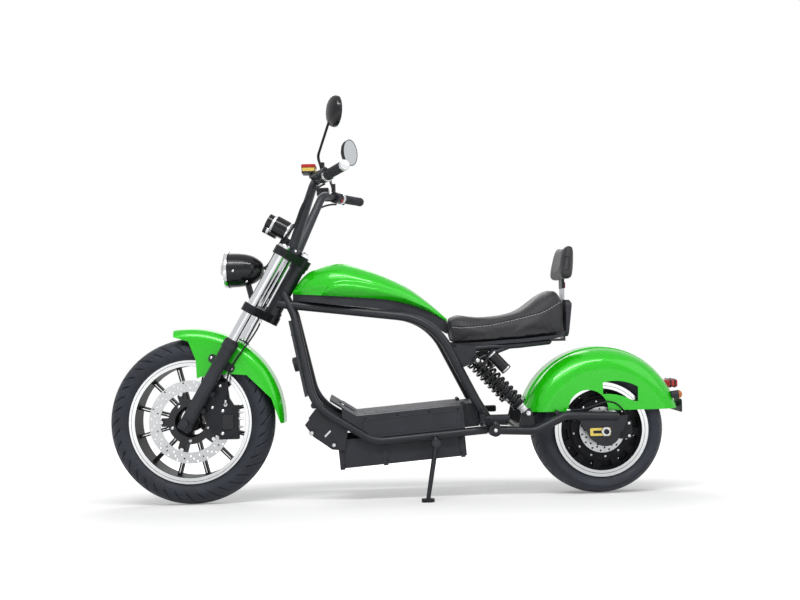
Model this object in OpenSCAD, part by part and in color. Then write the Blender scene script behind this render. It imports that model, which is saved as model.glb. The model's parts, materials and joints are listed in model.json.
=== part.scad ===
/* [Stance] */
// Lean to the left on the side stand, degrees
lean_deg = 6; // [4:0.5:8]
// Steering angle at rest, degrees, negative to the right
rest_steer_deg = -4; // [-8:1:8]

/* [Wheels] */
// Distance between the axles
wheelbase = 1438; // [1420:1:1460]
// Front tyre radius at the crown
front_tyre_r = 292; // [288:1:296]
// Front tyre width
front_tyre_w = 112; // [106:1:116]
// Height of the front tyre above the rim lip
front_sidewall = 76; // [70:1:80]
// Rear tyre radius at the crown
rear_tyre_r = 233.5; // [230:0.5:237]
// Rear tyre width
rear_tyre_w = 212; // [204:1:214]
// Height of the rear tyre above the rim lip
rear_sidewall = 68; // [64:1:72]
// Front brake disc radius
front_disc_r = 145; // [136:1:150]
// Rear brake disc radius
rear_disc_r = 80; // [74:1:84]
// Brake disc thickness
disc_t = 4.5; // [4:0.5:6]
// Front axle radius
front_axle_r = 8; // [7:0.5:9]
// Rear axle radius
rear_axle_r = 9; // [8:0.5:10]
// Spokes in the front wheel
spoke_count = 12; // [8:1:14]

/* [Fork] */
// Rake of the fork from the vertical, degrees
rake_deg = 30; // [29:0.5:31]
// Steering axis behind the legs
fork_offset = 62; // [58:1:68]
// Half the spacing of the fork legs
leg_y = 100; // [97:1:104]
// Stanchion radius
stanchion_r = 17.5; // [16:0.5:19]
// Slider radius
slider_r = 24; // [22:0.5:25]
// Slider top above the axle, along the leg
slider_top_h = 318; // [310:1:330]
// Lower clamp above the axle, along the leg
lower_clamp_h = 450; // [440:1:460]
// Length of the head tube
head_len = 195.4; // [188:0.2:206]
// Clamp thickness
clamp_t = 30; // [24:1:34]
// Steering stem radius
stem_r = 15; // [13:0.5:17]

/* [Frame] */
// Head tube radius
head_r = 27; // [25:0.5:29]
// Upper loop tube radius
loop_r = 16; // [14:0.5:17]
// Cradle tube radius
cradle_r = 14; // [12:0.5:15]
// Half the spacing of the cradle rails
rail_y = 118; // [116:1:121]
// Seat rail tube radius
seat_tube_r = 11; // [9:0.5:12]
// Swingarm tube radius
arm_r = 15; // [13:0.5:16]
// Half the spacing of the swingarm tubes
arm_y = 147; // [145:1:151]

/* [Deck] */
// Deck top above the rails
deck_h = 95; // [90:1:100]
// Half the width of the deck
deck_half_w = 126; // [122:1:130]
// Half the width of the lid
lid_half_w = 104; // [98:1:106]
// Lid thickness
lid_t = 8; // [6:0.5:10]
// Half the width of the battery case
case_half_w = 100; // [94:1:102]
// Depth of the battery case below the rails
case_depth = 84; // [78:1:92]
// Case wall
case_wall = 4; // [3:0.5:6]

/* [Bodywork] */
// Half the greatest width of the tank
tank_half_w = 112; // [104:1:118]
// Half the greatest width of the seat
seat_half_w = 122; // [114:1:128]
// Rear fender above the tyre
rear_fender_rise = 46.5; // [43:0.5:52]
// Half the width of the rear fender
rear_fender_half_w = 122; // [119:1:125]
// Front fender above the tyre
front_fender_rise = 36; // [32:1:40]
// Half the width of the front fender
front_fender_half_w = 70; // [66:1:72]
// Fender wall
fender_wall = 3; // [2:0.5:4]
// Headlamp rim radius
lamp_r = 65; // [60:1:70]

/* [Controls] */
// Handlebar half width, to the grip ends
bar_half_w = 371; // [360:1:385]
// Handlebar height of the grip ends
bar_z = 1119; // [1100:1:1140]
// Handlebar tube radius
bar_r = 11; // [10:0.5:12]
// Grip radius
grip_r = 16; // [14.5:0.5:18]
// Mirror radius
mirror_r = 52; // [46:1:58]

/* [Side stand] */
// Stand pivot height
stand_z = 207; // [200:1:212]
// Splay of the stand leg, degrees
splay_deg = 20; // [16:1:24]
// Forward angle of the lowered leg, degrees
stand_forward_deg = 11; // [6:1:16]

/* [Hidden] */
$fn = 48;
// Curves inside hulls
hull_fn = 32;

// Clearances
weld_gap = 0.05;
run_gap = 0.05;
seat_gap = 0.3;
face_gap = 0.3;
overrun = 5;
// Bends stand proud of the straight legs, which run on into them
bend_step = 0.3;
leg_in = 2;

// Colours
green = [0.12, 0.62, 0.06];
black = [0.08, 0.085, 0.09];
grey = [0.16, 0.17, 0.18];
steel = [0.72, 0.74, 0.76];
chrome = [0.85, 0.86, 0.88];
rubber = [0.10, 0.10, 0.11];
red = [0.75, 0.06, 0.06];
clear_white = [0.92, 0.94, 0.96];

// Axles
front_x = wheelbase / 2;
rear_x = -wheelbase / 2;
front_lip_r = front_tyre_r - front_sidewall;
rear_lip_r = rear_tyre_r - rear_sidewall;
front_fender_r = front_tyre_r + front_fender_rise;
rear_fender_r = rear_tyre_r + rear_fender_rise;
upper_clamp_h = lower_clamp_h + clamp_t + head_len + 2 * face_gap;

// Frame points, forward and up, on the centre plane
pivot_x = -336;
pivot_z = 248;
keel_x = 81;
keel_z = 216;
toe_x = 285;
toe_z = 346;
bend_x = -132;
bend_z = 634;
foot_x = -275;
foot_z = 350;
neck_h = 509;
neck_y = 22;
down_h = 552;
down_y = 24;
foot_y = 122;
pivot_y = 113;
loop_bend_r = 210;
foot_bend_r = 60;
toe_bend_r = 150;
keel_bend_r = 120;
knee_bend_r = 90;
lug_r = 24;
lug_in = 94;
lug_out = 131;
pivot_bolt_r = 8;
pivot_head_r = 13;
pivot_head_t = 6;
deck_pitch = atan2(pivot_z - keel_z, keel_x - pivot_x);
rail_len = norm([keel_x - pivot_x, pivot_z - keel_z]);
diag_deg = atan2(toe_z - keel_z, toe_x - keel_x) + deck_pitch;
diag_len = norm([toe_x - keel_x, toe_z - keel_z]);

// Lift that keeps the tyres on the ground when they roll over to the lean
rear_crown_r = 260;
lean_lift = rear_crown_r * (1 - cos(lean_deg));

// Mirror places, from the handlebar
mirror_pos = [168, 330, 1308];
mirror_turn = 28;
mirror_depth = 24;
mirror_reach = mirror_pos.y + mirror_r * cos(mirror_turn);
// Sideways shift that centres the leaning machine over its origin
lean_shift = (mirror_reach * cos(lean_deg) + mirror_pos.z * sin(lean_deg)
  - bar_half_w * cos(lean_deg) + bar_z * sin(lean_deg)) / 2;

function fork_pt(x, y, z) = [front_x + x * cos(rake_deg) - z * sin(rake_deg), y,
  front_tyre_r + x * sin(rake_deg) + z * cos(rake_deg)];
function mix(a, b, t) = a + (b - a) * t;
function unit(v) = v / norm(v);
// Catmull-Rom curve through a list of points, n steps a span
function spline_at(p, i, t) = let (
  a = p[max(i - 1, 0)], b = p[i], c = p[i + 1], d = p[min(i + 2, len(p) - 1)])
  0.5 * (2 * b + (c - a) * t + (2 * a - 5 * b + 4 * c - d) * t * t + (3 * b - a - 3 * c + d) * t * t * t);
function spline(p, n) = concat(
  [for (i = [0 : len(p) - 2], k = [0 : n - 1]) spline_at(p, i, k / n)], [p[len(p) - 1]]);

module lean() translate([0, -lean_shift, lean_lift]) rotate([-lean_deg, 0, 0]) children();
module fork_frame() translate([front_x, 0, front_tyre_r]) rotate([0, -rake_deg, 0]) children();
// The steered assembly, turned about the steering axis
module steered() lean() fork_frame() translate([-fork_offset, 0, 0]) rotate(rest_steer_deg)
  translate([fork_offset, 0, 0]) rotate([0, rake_deg, 0]) translate([-front_x, 0, -front_tyre_r])
    children();
module front_hub() translate([front_x, 0, front_tyre_r]) rotate([-90, 0, 0]) children();
module rear_hub() translate([rear_x, 0, rear_tyre_r]) rotate([-90, 0, 0]) children();
module deck_frame() translate([keel_x, 0, keel_z]) rotate([0, deck_pitch, 0]) children();
module both() {
  children();
  mirror([0, 1, 0]) children();
}
// A round bar from a to b, which may taper
module bar(a, b, r1, r2) {
  d = b - a;
  translate(a) rotate([0, acos(d.z / norm(d)), atan2(d.y, d.x)]) cylinder(r1 = r1, r2 = r2, h = norm(d));
}
module rod(a, b, r) bar(a, b, r, r);
// A round bar lying across, between two sideways places
module across(x, z, y0, y1, r) translate([x, y0, z]) rotate([-90, 0, 0]) cylinder(r = r, h = y1 - y0);
// Tangent length of a bend at corner i of a path
function bend_t(p, i, bends) = (i == 0 || i == len(p) - 1) ? 0 :
  bends[i - 1] * tan(acos(unit(p[i] - p[i - 1]) * unit(p[i + 1] - p[i])) / 2);
// A tube of radius r along a path, with a bend radius at each inner corner
module bent_tube(p, r, bends) {
  for (i = [0 : len(p) - 2]) {
    u = unit(p[i + 1] - p[i]);
    rod(p[i] + u * max(bend_t(p, i, bends) - leg_in, 0), p[i + 1] - u * max(bend_t(p, i + 1,
      bends) - leg_in, 0), r);
  }
  for (i = [1 : len(p) - 2]) {
    a = unit(p[i] - p[i - 1]);
    b = unit(p[i + 1] - p[i]);
    n = unit(b - a * (a * b));
    c = p[i] - a * bend_t(p, i, bends) + n * bends[i - 1];
    z = cross(-n, a);
    multmatrix([[-n.x, a.x, z.x, c.x], [-n.y, a.y, z.y, c.y], [-n.z, a.z, z.z, c.z], [0, 0, 0, 1]])
      rotate_extrude(angle = acos(a * b)) translate([bends[i - 1], 0]) circle(r = r + bend_step);
  }
}
// A closed skin through rings of equal point counts
module loft(rings) {
  m = len(rings[0]);
  n = len(rings);
  sides = [for (i = [0 : n - 2], j = [0 : m - 1]) each
    let (a = i * m + j, b = i * m + (j + 1) % m, c = (i + 1) * m + (j + 1) % m, d = (i + 1) * m + j)
    [[a, b, c], [a, c, d]]];
  caps = [[for (j = [m - 1 : -1 : 0]) j], [for (j = [0 : m - 1]) (n - 1) * m + j]];
  polyhedron(points = [for (r = rings, q = r) q], faces = concat(sides, caps));
}
// A round sweep along route points, k sides
module sweep(route, r, k) loft([for (i = [0 : len(route) - 1])
  let (t = unit(route[min(i + 1, len(route) - 1)] - route[max(i - 1, 0)]),
    side = unit(cross(t, abs(t.z) > 0.9 ? [1, 0, 0] : [0, 0, 1])), up = cross(side, t))
  [for (j = [0 : k - 1]) route[i] + r * (cos(360 * j / k) * side + sin(360 * j / k) * up)]]);
// A rectangle with round corners, centred on x
module soft_rect(half_w, y0, y1, r) {
  translate([-half_w, y0 + r]) square([2 * half_w, y1 - y0 - 2 * r]);
  translate([-half_w + r, y0]) square([2 * half_w - 2 * r, y1 - y0]);
  for (s = [-1, 1], y = [y0 + r, y1 - r]) translate([s * (half_w - r), y]) circle(r = r);
}
// A plate in the forward and up plane, from one sideways place to another
module side_plate(y0, y1) translate([0, y1, 0]) rotate([90, 0, 0]) linear_extrude(y1 - y0) children();

// Where the loops meet the head tube
neck_pt = fork_pt(-fork_offset, 0, neck_h);
knee_back = 58.8;
knee_drop = 41.8;
knee_y = 42;
down_knee = [neck_pt.x - knee_back, knee_y, neck_pt.z - knee_drop];

// Frame
loop_path = [fork_pt(-fork_offset, neck_y, neck_h), [bend_x, foot_y, bend_z],
  [foot_x, foot_y, foot_z], [pivot_x, pivot_y, pivot_z]];
cradle_path = [fork_pt(-fork_offset, down_y, down_h), down_knee, [toe_x, rail_y, toe_z],
  [keel_x, rail_y, keel_z], [pivot_x + lug_r, rail_y, pivot_z - lug_r * tan(deck_pitch)]];
head_low_h = lower_clamp_h + clamp_t / 2 + face_gap;
head_high_h = upper_clamp_h - clamp_t / 2 - face_gap;
head_cup_r = 31;
head_cup_h = 16;

module head_outer(grow) fork_frame() translate([-fork_offset, 0, head_low_h])
  cylinder(r = head_r + grow, h = head_high_h - head_low_h);
module pivot_lug(grow) across(pivot_x, pivot_z, lug_in - grow, lug_out + grow, lug_r + grow);
module loop_tube(grow) bent_tube(loop_path, loop_r + grow, [loop_bend_r, foot_bend_r]);
module cradle_tube(grow) bent_tube(cradle_path, cradle_r + grow, [knee_bend_r, toe_bend_r, keel_bend_r]);

module head_tube() {
  color(black) lean() difference() {
    union() {
      head_outer(0);
      for (h = [head_low_h, head_high_h - head_cup_h]) fork_frame() translate([-fork_offset, 0, h])
        cylinder(r = head_cup_r, h = head_cup_h);
    }
    fork_frame() translate([-fork_offset, 0, head_low_h - overrun])
      cylinder(r = stem_r + run_gap, h = head_high_h - head_low_h + 2 * overrun);
  }
}

module upper_loops() {
  color(black) lean() both() difference() {
    loop_tube(0);
    head_outer(weld_gap);
    pivot_lug(weld_gap);
  }
}

module lower_cradles() {
  color(black) lean() both() difference() {
    cradle_tube(0);
    loop_tube(weld_gap);
    head_outer(weld_gap);
    pivot_lug(weld_gap);
  }
}

// Stand and peg brackets
stand_x = -132;
stand_y = 150;
stand_pin_r = 6;
stand_eye_r = 15;
stand_eye_t = 12;
stand_ear_t = 6;
stand_arm_r = 9;
peg_x = -292;
peg_y = 168;
peg_z = 291;
peg_r = 11;
peg_len = 92;
peg_eye_r = 12;
peg_eye_h = 18;
peg_ear_t = 5;
peg_pin_r = 4;
peg_stub_r = 8;
peg_root = [-297, 116, 313];
bracket_t = 6;
bracket_y = 112;
bracket_bolt_r = 9;
toe_cross_r = 11;
pivot_tube_r = 15;
// Front bracket corners, forward and up from the keel, as shares of the diagonal
bracket_shares = [[0.36, 0.21], [0.80, 0.49], [0.98, 0.26], [0.86, 0.09], [0.60, -0.10], [0.42, -0.12]];
bracket_bolt_shares = [[0.88, 0.15], [0.57, -0.03]];

module stand_frame() translate([stand_x, stand_y, stand_z]) rotate([splay_deg, 0, 0]) rotate([-90, 0,
  0]) children();

module bracket_plate() {
  translate([keel_x, 0, keel_z]) {
    side_plate(bracket_y - bracket_t, bracket_y) polygon(bracket_shares * diag_len);
    for (s = bracket_bolt_shares) translate([s.x * diag_len, 0, s.y * diag_len])
      across(0, 0, bracket_y - bracket_t, bracket_y + bracket_t, bracket_bolt_r);
  }
}

module cross_members() {
  color(black) lean() {
    both() {
      // Swingarm lug with its bolt bore
      difference() {
        union() {
          pivot_lug(0);
          across(pivot_x, pivot_z, 0, lug_in + overrun, pivot_tube_r);
        }
        across(pivot_x, pivot_z, -overrun, lug_out + overrun, pivot_bolt_r);
      }
      difference() {
        union() {
          across(toe_x, toe_z, 0, rail_y, toe_cross_r);
          bracket_plate();
        }
        cradle_tube(weld_gap);
      }
      // Passenger peg bracket
      difference() {
        union() {
          rod(peg_root, [peg_x, peg_y - peg_eye_r, peg_z + peg_eye_h / 2 + peg_ear_t], peg_stub_r);
          for (z = [peg_eye_h / 2 + face_gap, -peg_eye_h / 2 - face_gap - peg_ear_t])
            translate([peg_x, peg_y, peg_z + z]) cylinder(r = peg_eye_r, h = peg_ear_t);
          translate([peg_x, peg_y, peg_z - peg_eye_h / 2 - face_gap])
            cylinder(r = peg_pin_r, h = peg_eye_h + 2 * face_gap);
          rod([peg_root.x, peg_root.y, peg_z - peg_eye_h / 2 - peg_ear_t],
            [peg_x, peg_y - peg_eye_r / 2, peg_z - peg_eye_h / 2 - peg_ear_t / 2 - face_gap],
              peg_ear_t / 2);
        }
        loop_tube(weld_gap);
        translate([peg_x, peg_y, peg_z - peg_eye_h / 2 - face_gap]) difference() {
          cylinder(r = peg_eye_r + overrun, h = peg_eye_h + 2 * face_gap);
          translate([0, 0, -overrun]) cylinder(r = peg_pin_r, h = peg_eye_h + 4 * overrun);
        }
      }
    }
    // Side stand bracket, with its tilted pin
    difference() {
      union() {
        stand_frame() translate([0, 0, -stand_eye_t / 2 - face_gap - stand_ear_t]) {
          cylinder(r = stand_eye_r, h = stand_ear_t);
          cylinder(r = stand_pin_r, h = stand_ear_t + stand_eye_t + 2 * face_gap);
        }
        rod([stand_x, rail_y, keel_z + (keel_x - stand_x) * tan(deck_pitch)],
          [stand_x, stand_y - stand_eye_t - stand_ear_t, stand_z], stand_arm_r);
      }
      cradle_tube(weld_gap);
    }
  }
}

// Seat frame
rail_front = [-196, 100, 524];
rail_mid = [-436, 100, 537];
rail_end = [-545, 80, 546];
seat_bend_r = 120;
shock_top = [-280, 0, 489];
shock_eye_r = 13;
shock_eye_w = 24;
shock_pin_r = 6;
gusset_t = 6;
gusset_y = 118;
cross_tube_r = seat_tube_r * 0.8;
strut_r = seat_tube_r * 0.65;
shock_lug_r = 14;
// Gusset corners as shares of the step from the loop tube to the shock top
gusset_shares = [[1.05, -0.05], [1.0, 0.6], [0.15, 0.75], [-0.05, 0.2], [0.35, -0.35]];
gusset_span = 76;

module seat_frame() {
  color(black) lean() difference() {
    union() both() {
      bent_tube([rail_front, rail_mid, rail_end], seat_tube_r, [seat_bend_r]);
      across(rail_end.x, rail_end.z, 0, rail_end.y, cross_tube_r);
      across(rail_front.x - cross_tube_r, rail_front.z, 0, foot_y, cross_tube_r);
      rod([shock_top.x, gusset_y - gusset_t / 2, shock_top.z], mix(rail_mid, rail_front, 0.1), strut_r);
      translate([shock_top.x + gusset_span, 0, shock_top.z])
        side_plate(gusset_y - gusset_t, gusset_y) polygon([for (s = gusset_shares) [-s.x,
          s.y] * gusset_span]);
      across(shock_top.x, shock_top.z, gusset_y - gusset_t / 2, arm_y - shock_eye_w / 2 - face_gap,
        shock_lug_r);
      across(shock_top.x, shock_top.z, gusset_y - gusset_t / 2, arm_y + shock_eye_w / 2 + 2 * face_gap,
        shock_pin_r);
      across(shock_top.x, shock_top.z, arm_y + shock_eye_w / 2 + face_gap,
        arm_y + shock_eye_w / 2 + bracket_t,
        shock_eye_r * 0.75);
    }
    both() loop_tube(weld_gap);
  }
}

// Neck panel between the down tubes
panel_shares = [0.11, 0.95];
panel_foot = mix([toe_x, toe_z], [down_knee.x, down_knee.z], panel_shares[0]);
panel_top = mix([toe_x, toe_z], [down_knee.x, down_knee.z], panel_shares[1]);
panel_t = 10;
panel_half_top = 48;
panel_half_foot = 110;
horn_r = 26;
horn_t = 20;
horn_share = 0.42;

module neck_panel() {
  panel_tilt = atan2(panel_top.x - panel_foot.x, panel_top.y - panel_foot.y);
  panel_h = norm(panel_top - panel_foot);
  color(black) lean() translate([panel_foot.x, 0, panel_foot.y]) rotate([0, panel_tilt, 0])
    translate([cradle_r + seat_gap, 0, 0]) {
    rotate([90, 0, 90]) linear_extrude(panel_t) polygon([[-panel_half_foot, 0], [panel_half_foot, 0],
      [panel_half_top, panel_h], [-panel_half_top, panel_h]]);
    translate([panel_t, 0, panel_h * horn_share]) rotate([0, 90, 0]) cylinder(r = horn_r, h = horn_t);
  }
}

// Tank: rings from the front to the tail
tank_front_back = 54.8;
tank_tail_back = 58;
tank_front_drop = 81.8;
tank_tail_drop = 14;
tank_front_x = neck_pt.x - tank_front_back;
tank_tail_x = bend_x - tank_tail_back;
tank_len = tank_front_x - tank_tail_x;
tank_rise = 225;
trim_gap = 0.4;
trim_h = 22;
trim_inset_share = 0.93;
tank_steps = 4;
tank_arc = 11;
// Length share from the front, bottom share, crease share, top share, half width share
tank_shares = [[0, 0.505, 0.53, 0.56, 0.32], [0.07, 0.49, 0.56, 0.78, 0.62], [0.16, 0.475, 0.60, 0.92,
  0.84],
  [0.30, 0.45, 0.62, 1.0, 1.0], [0.45, 0.42, 0.57, 0.92, 0.98], [0.60, 0.385, 0.50, 0.77, 0.86],
  [0.75, 0.30, 0.40, 0.57, 0.66], [0.88, 0.18, 0.25, 0.33, 0.46], [1.0, 0.02, 0.04, 0.07, 0.26]];
tank_lower_share = 0.9;
tank_round_share = 0.86;

// Base line of the tank, from the neck to the bend of the loops
function tank_base(s) = mix(neck_pt.z - tank_front_drop, bend_z - tank_tail_drop, s[0]);
function tank_ring(s) = let (x = tank_front_x - s[0] * tank_len, w = s[4] * tank_half_w,
  zb = tank_base(s) + s[1] * tank_rise, zc = tank_base(s) + s[2] * tank_rise, zt = tank_base(s)
    + s[3] * tank_rise)
  concat([[x, -w * tank_lower_share, zb]],
    [for (i = [0 : tank_arc]) let (a = 180 - 180 * i / tank_arc)
      [x, w * sign(cos(a)) * pow(abs(cos(a)), tank_round_share), zc + (zt - zc) * pow(sin(a),
        tank_round_share)]],
    [[x, w * tank_lower_share, zb]]);
function trim_ring(s) = let (x = tank_front_x - s[0] * tank_len,
  w = s[4] * tank_half_w * tank_lower_share * trim_inset_share, zb = tank_base(s)
    + s[1] * tank_rise - trim_gap)
  [[x, -w, zb - trim_h * (1 + s[0])], [x, -w, zb], [x, w, zb], [x, w, zb - trim_h * (1 + s[0])]];

module tank() {
  color(green) lean() difference() {
    loft([for (s = spline(tank_shares, tank_steps)) tank_ring(s)]);
    head_outer(face_gap);
  }
}

module tank_trim() {
  color(black) lean() difference() {
    loft([for (s = spline(tank_shares, tank_steps)) trim_ring(s)]);
    head_outer(face_gap);
    both() loop_tube(weld_gap);
    both() cradle_tube(weld_gap);
  }
}

// Seat
seat_front_x = -194;
seat_rear_x = -604;
seat_len = seat_front_x - seat_rear_x;
seat_low_z = 548;
seat_rise = 184;
seat_steps = 3;
seat_arc = 12;
// Length share, bottom share, top share, half width share
seat_shares = [[0, 0.0, 0.50, 0.58], [0.08, 0.0, 0.53, 0.70], [0.25, 0.01, 0.475, 0.88], [0.45, 0.04,
  0.50, 1.0],
  [0.62, 0.06, 0.60, 1.0], [0.78, 0.09, 0.86, 0.95], [0.89, 0.11, 1.0, 0.88], [0.96, 0.14, 0.92, 0.80],
  [1.0, 0.2, 0.72, 0.70]];
seat_round_share = 0.5;
base_t = 12;
base_inset_share = 0.94;

function seat_ring(s) = let (x = seat_front_x - s[0] * seat_len, w = s[3] * seat_half_w,
  zb = seat_low_z + s[1] * seat_rise, zt = seat_low_z + s[2] * seat_rise)
  [for (i = [0 : seat_arc]) let (a = 180 - 180 * i / seat_arc)
    [x, w * sign(cos(a)) * pow(abs(cos(a)), seat_round_share), zb + (zt - zb) * pow(sin(a),
      seat_round_share)]];
function base_ring(s) = let (x = seat_front_x - s[0] * seat_len, w = s[3] * seat_half_w * base_inset_share,
  zb = seat_low_z + s[1] * seat_rise - face_gap)
  [[x, -w, zb - base_t], [x, -w, zb], [x, w, zb], [x, w, zb - base_t]];

module seat_pad() {
  color(grey) lean() loft([for (s = spline(seat_shares, seat_steps)) seat_ring(s)]);
}

module seat_base() {
  color(black) lean() difference() {
    loft([for (s = spline(seat_shares, seat_steps)) base_ring(s)]);
    both() bent_tube([rail_front, rail_mid, rail_end], seat_tube_r + weld_gap, [seat_bend_r]);
    both() loop_tube(face_gap);
    across(rail_front.x - cross_tube_r, rail_front.z, -foot_y, foot_y, cross_tube_r + weld_gap);
    across(rail_end.x, rail_end.z, -rail_end.y, rail_end.y, cross_tube_r + weld_gap);
  }
}

// Backrest
back_x = -606;
back_low_z = 762;
back_h = 124;
back_t = 44;
back_half_w = 112;
back_tilt = 8;
back_round = 18;
back_top_round = 13;
back_taper_share = 0.2;
back_narrow_share = 0.14;
back_set = 2;
stay_t = 8;
stay_half_w = 26;
stay_low_z = 545;
stay_gap = 3;

module backrest_pad() {
  color(black) lean() translate([back_x, 0, back_low_z]) rotate([0, -back_tilt, 0]) hull()
    for (y = [-1, 1], x = [-1, 1], top = [0, 1])
      translate([x * (back_t / 2 - back_round) * (1 - top * back_taper_share) - top * back_set,
        y * (back_half_w - back_round) * (1 - top * back_narrow_share),
          top ? back_h - back_top_round : back_round])
        sphere(r = top ? back_top_round : back_round, $fn = hull_fn / 2);
}

module backrest_stay() {
  stay_x = seat_rear_x - stay_gap - stay_t;
  color(steel) lean() {
    difference() {
      translate([stay_x, -stay_half_w, stay_low_z]) cube([stay_t, 2 * stay_half_w,
        back_low_z - stay_low_z + stay_t]);
      translate([back_x, 0, back_low_z]) rotate([0, -back_tilt, 0]) translate([-back_t, -back_half_w,
        -seat_gap])
        cube([2 * back_t, 2 * back_half_w, back_h]);
    }
    difference() {
      translate([stay_x, -stay_half_w, stay_low_z]) cube([rail_end.x - stay_x, 2 * stay_half_w, stay_t]);
      across(rail_end.x, rail_end.z, -rail_end.y, rail_end.y, cross_tube_r + weld_gap);
    }
  }
}

// Shell behind the seat, round the stay
shell_half_w = 82;
shell_low = 562;
shell_top = 692;
shell_t = 22;
shell_round = 24;
shell_lean = 14;

module seat_shell() {
  inner = seat_rear_x - stay_gap;
  color(black) lean() difference() {
    intersection() {
      side_plate(-shell_half_w, shell_half_w) polygon([[inner, shell_low], [inner, shell_top],
        [inner - shell_t + shell_lean / 2, shell_top], [inner - shell_t, shell_top - shell_lean],
        [inner - shell_t + shell_lean, shell_low]]);
      translate([inner - 2 * shell_t, 0, 0]) rotate([90, 0, 90]) linear_extrude(3 * shell_t)
        soft_rect(shell_half_w, shell_low, shell_top, shell_round);
    }
    translate([inner - stay_t - seat_gap, -stay_half_w - seat_gap, stay_low_z])
      cube([2 * stay_t, 2 * (stay_half_w + seat_gap), back_h + seat_rise]);
  }
}

// Deck and battery, in the deck frame: forward along the rails and up from them
deck_low = cradle_r + seat_gap;
deck_kink_x = 51;
deck_nose_x = 152;
deck_seam_x = -314;
deck_tail_x = -372;
deck_wide_end_x = -318;
deck_tail_half_w = 84;
deck_slope = tan(diag_deg);
deck_nose_z = deck_h + (deck_nose_x - deck_kink_x) * deck_slope;
deck_wall = 5;
lid_gap = 0.6;
lid_nose_gap = 14;
hinge_r = 6;
hinge_pin_r = 3;
hinge_len = 30;
hinge_y = 70;
hinge_x = deck_seam_x - hinge_r;
hinge_lift_share = 0.6;
hinge_z = deck_h + hinge_r * hinge_lift_share;
handle_len = 66;
handle_w = 42;
handle_t = 4;
diag_off_x = deck_low * tan(diag_deg / 2);

// Deck side outline, drawn in by an inset
module deck_outline(inset) {
  polygon([[-diag_off_x + inset, deck_low], [deck_nose_x - inset, deck_low + (deck_nose_x + diag_off_x)
    * deck_slope],
    [deck_nose_x - inset, deck_nose_z - inset], [deck_kink_x - inset * deck_slope / 2, deck_h - inset],
    [deck_tail_x + inset, deck_h - inset], [deck_tail_x + inset, deck_low]]);
}
// Lid outline: a flat run and a nose that follows the rising floor
module lid_outline(top, grow) {
  nose = deck_nose_x - lid_nose_gap + grow;
  polygon([[deck_seam_x - grow, top], [deck_kink_x, top], [nose, top + (nose - deck_kink_x) * deck_slope],
    [nose, top - lid_t - grow + (nose - deck_kink_x) * deck_slope],
    [deck_kink_x + (lid_t + grow) * deck_slope / 3, top - lid_t - grow], [deck_seam_x - grow,
      top - lid_t - grow]]);
}

module deck_case() {
  color(black) lean() difference() {
    deck_frame() deck_shell();
    both() cradle_tube(weld_gap);
  }
}

module deck_shell() {
  difference() {
    union() {
      intersection() {
        side_plate(-deck_half_w, deck_half_w) deck_outline(0);
        translate([deck_wide_end_x, -deck_half_w, 0]) cube([rail_len, 2 * deck_half_w, rail_len]);
      }
      intersection() {
        side_plate(-deck_tail_half_w, deck_tail_half_w) deck_outline(0);
        translate([deck_tail_x, -deck_half_w, 0]) cube([deck_wide_end_x - deck_tail_x, 2 * deck_half_w,
          rail_len]);
      }
    }
    // The hollow for the battery, open below and under the lid
    translate([0, 0, -overrun]) side_plate(-case_half_w + case_wall, case_half_w - case_wall)
      intersection() {
        deck_outline(deck_wall);
        translate([deck_seam_x + deck_wall, 0]) square([rail_len, rail_len]);
      }
    side_plate(-lid_half_w - lid_gap, lid_half_w + lid_gap) lid_outline(deck_h, lid_gap);
    side_plate(-case_half_w + case_wall, case_half_w - case_wall) lid_outline(deck_h - lid_t, -deck_wall);
    // Room for the hinge knuckles
    both() {
      across(hinge_x, hinge_z, hinge_y - lid_gap, hinge_y + hinge_len + lid_gap, hinge_r + lid_gap);
      translate([hinge_x - lid_gap, hinge_y - lid_gap, deck_h - lid_t - lid_gap])
        cube([hinge_r + 2 * lid_gap, hinge_len + 2 * lid_gap, lid_t + overrun]);
    }
  }
  // Hinge pins beside the knuckles
  both() {
    across(hinge_x, hinge_z, hinge_y - hinge_r, hinge_y + hinge_len + hinge_r, hinge_pin_r);
    for (y = [hinge_y - hinge_r - lid_gap, hinge_y + hinge_len + lid_gap])
      across(hinge_x, hinge_z, y, y + hinge_r, hinge_r);
  }
}

module deck_lid() {
  color(grey) lean() deck_frame() difference() {
    union() {
      side_plate(-lid_half_w, lid_half_w) lid_outline(deck_h, 0);
      both() intersection() {
        union() {
          across(hinge_x, hinge_z, hinge_y, hinge_y + hinge_len, hinge_r);
          translate([hinge_x, hinge_y, deck_h - lid_t]) cube([hinge_r * 2, hinge_len, lid_t]);
        }
        translate([hinge_x - 2 * hinge_r, 0, 0]) cube([4 * hinge_r, lid_half_w, rail_len]);
      }
    }
    both() across(hinge_x, hinge_z, hinge_y - overrun, hinge_y + hinge_len + overrun,
      hinge_pin_r + run_gap);
    // Finger recess in the rising nose
    translate([deck_kink_x + handle_t, -handle_w / 2, deck_h]) rotate([0, -diag_deg, 0])
      translate([handle_t, 0, -handle_t]) cube([handle_len, handle_w, 2 * handle_t]);
  }
}

case_front_x = 125;
case_rear_x = -318;
case_rib_t = 4;
case_rib_w = 16;
case_rib_shares = [0.02, 0.36, 0.97];
battery_len = 300;
battery_front_x = 20;
battery_gap = 4;

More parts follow.
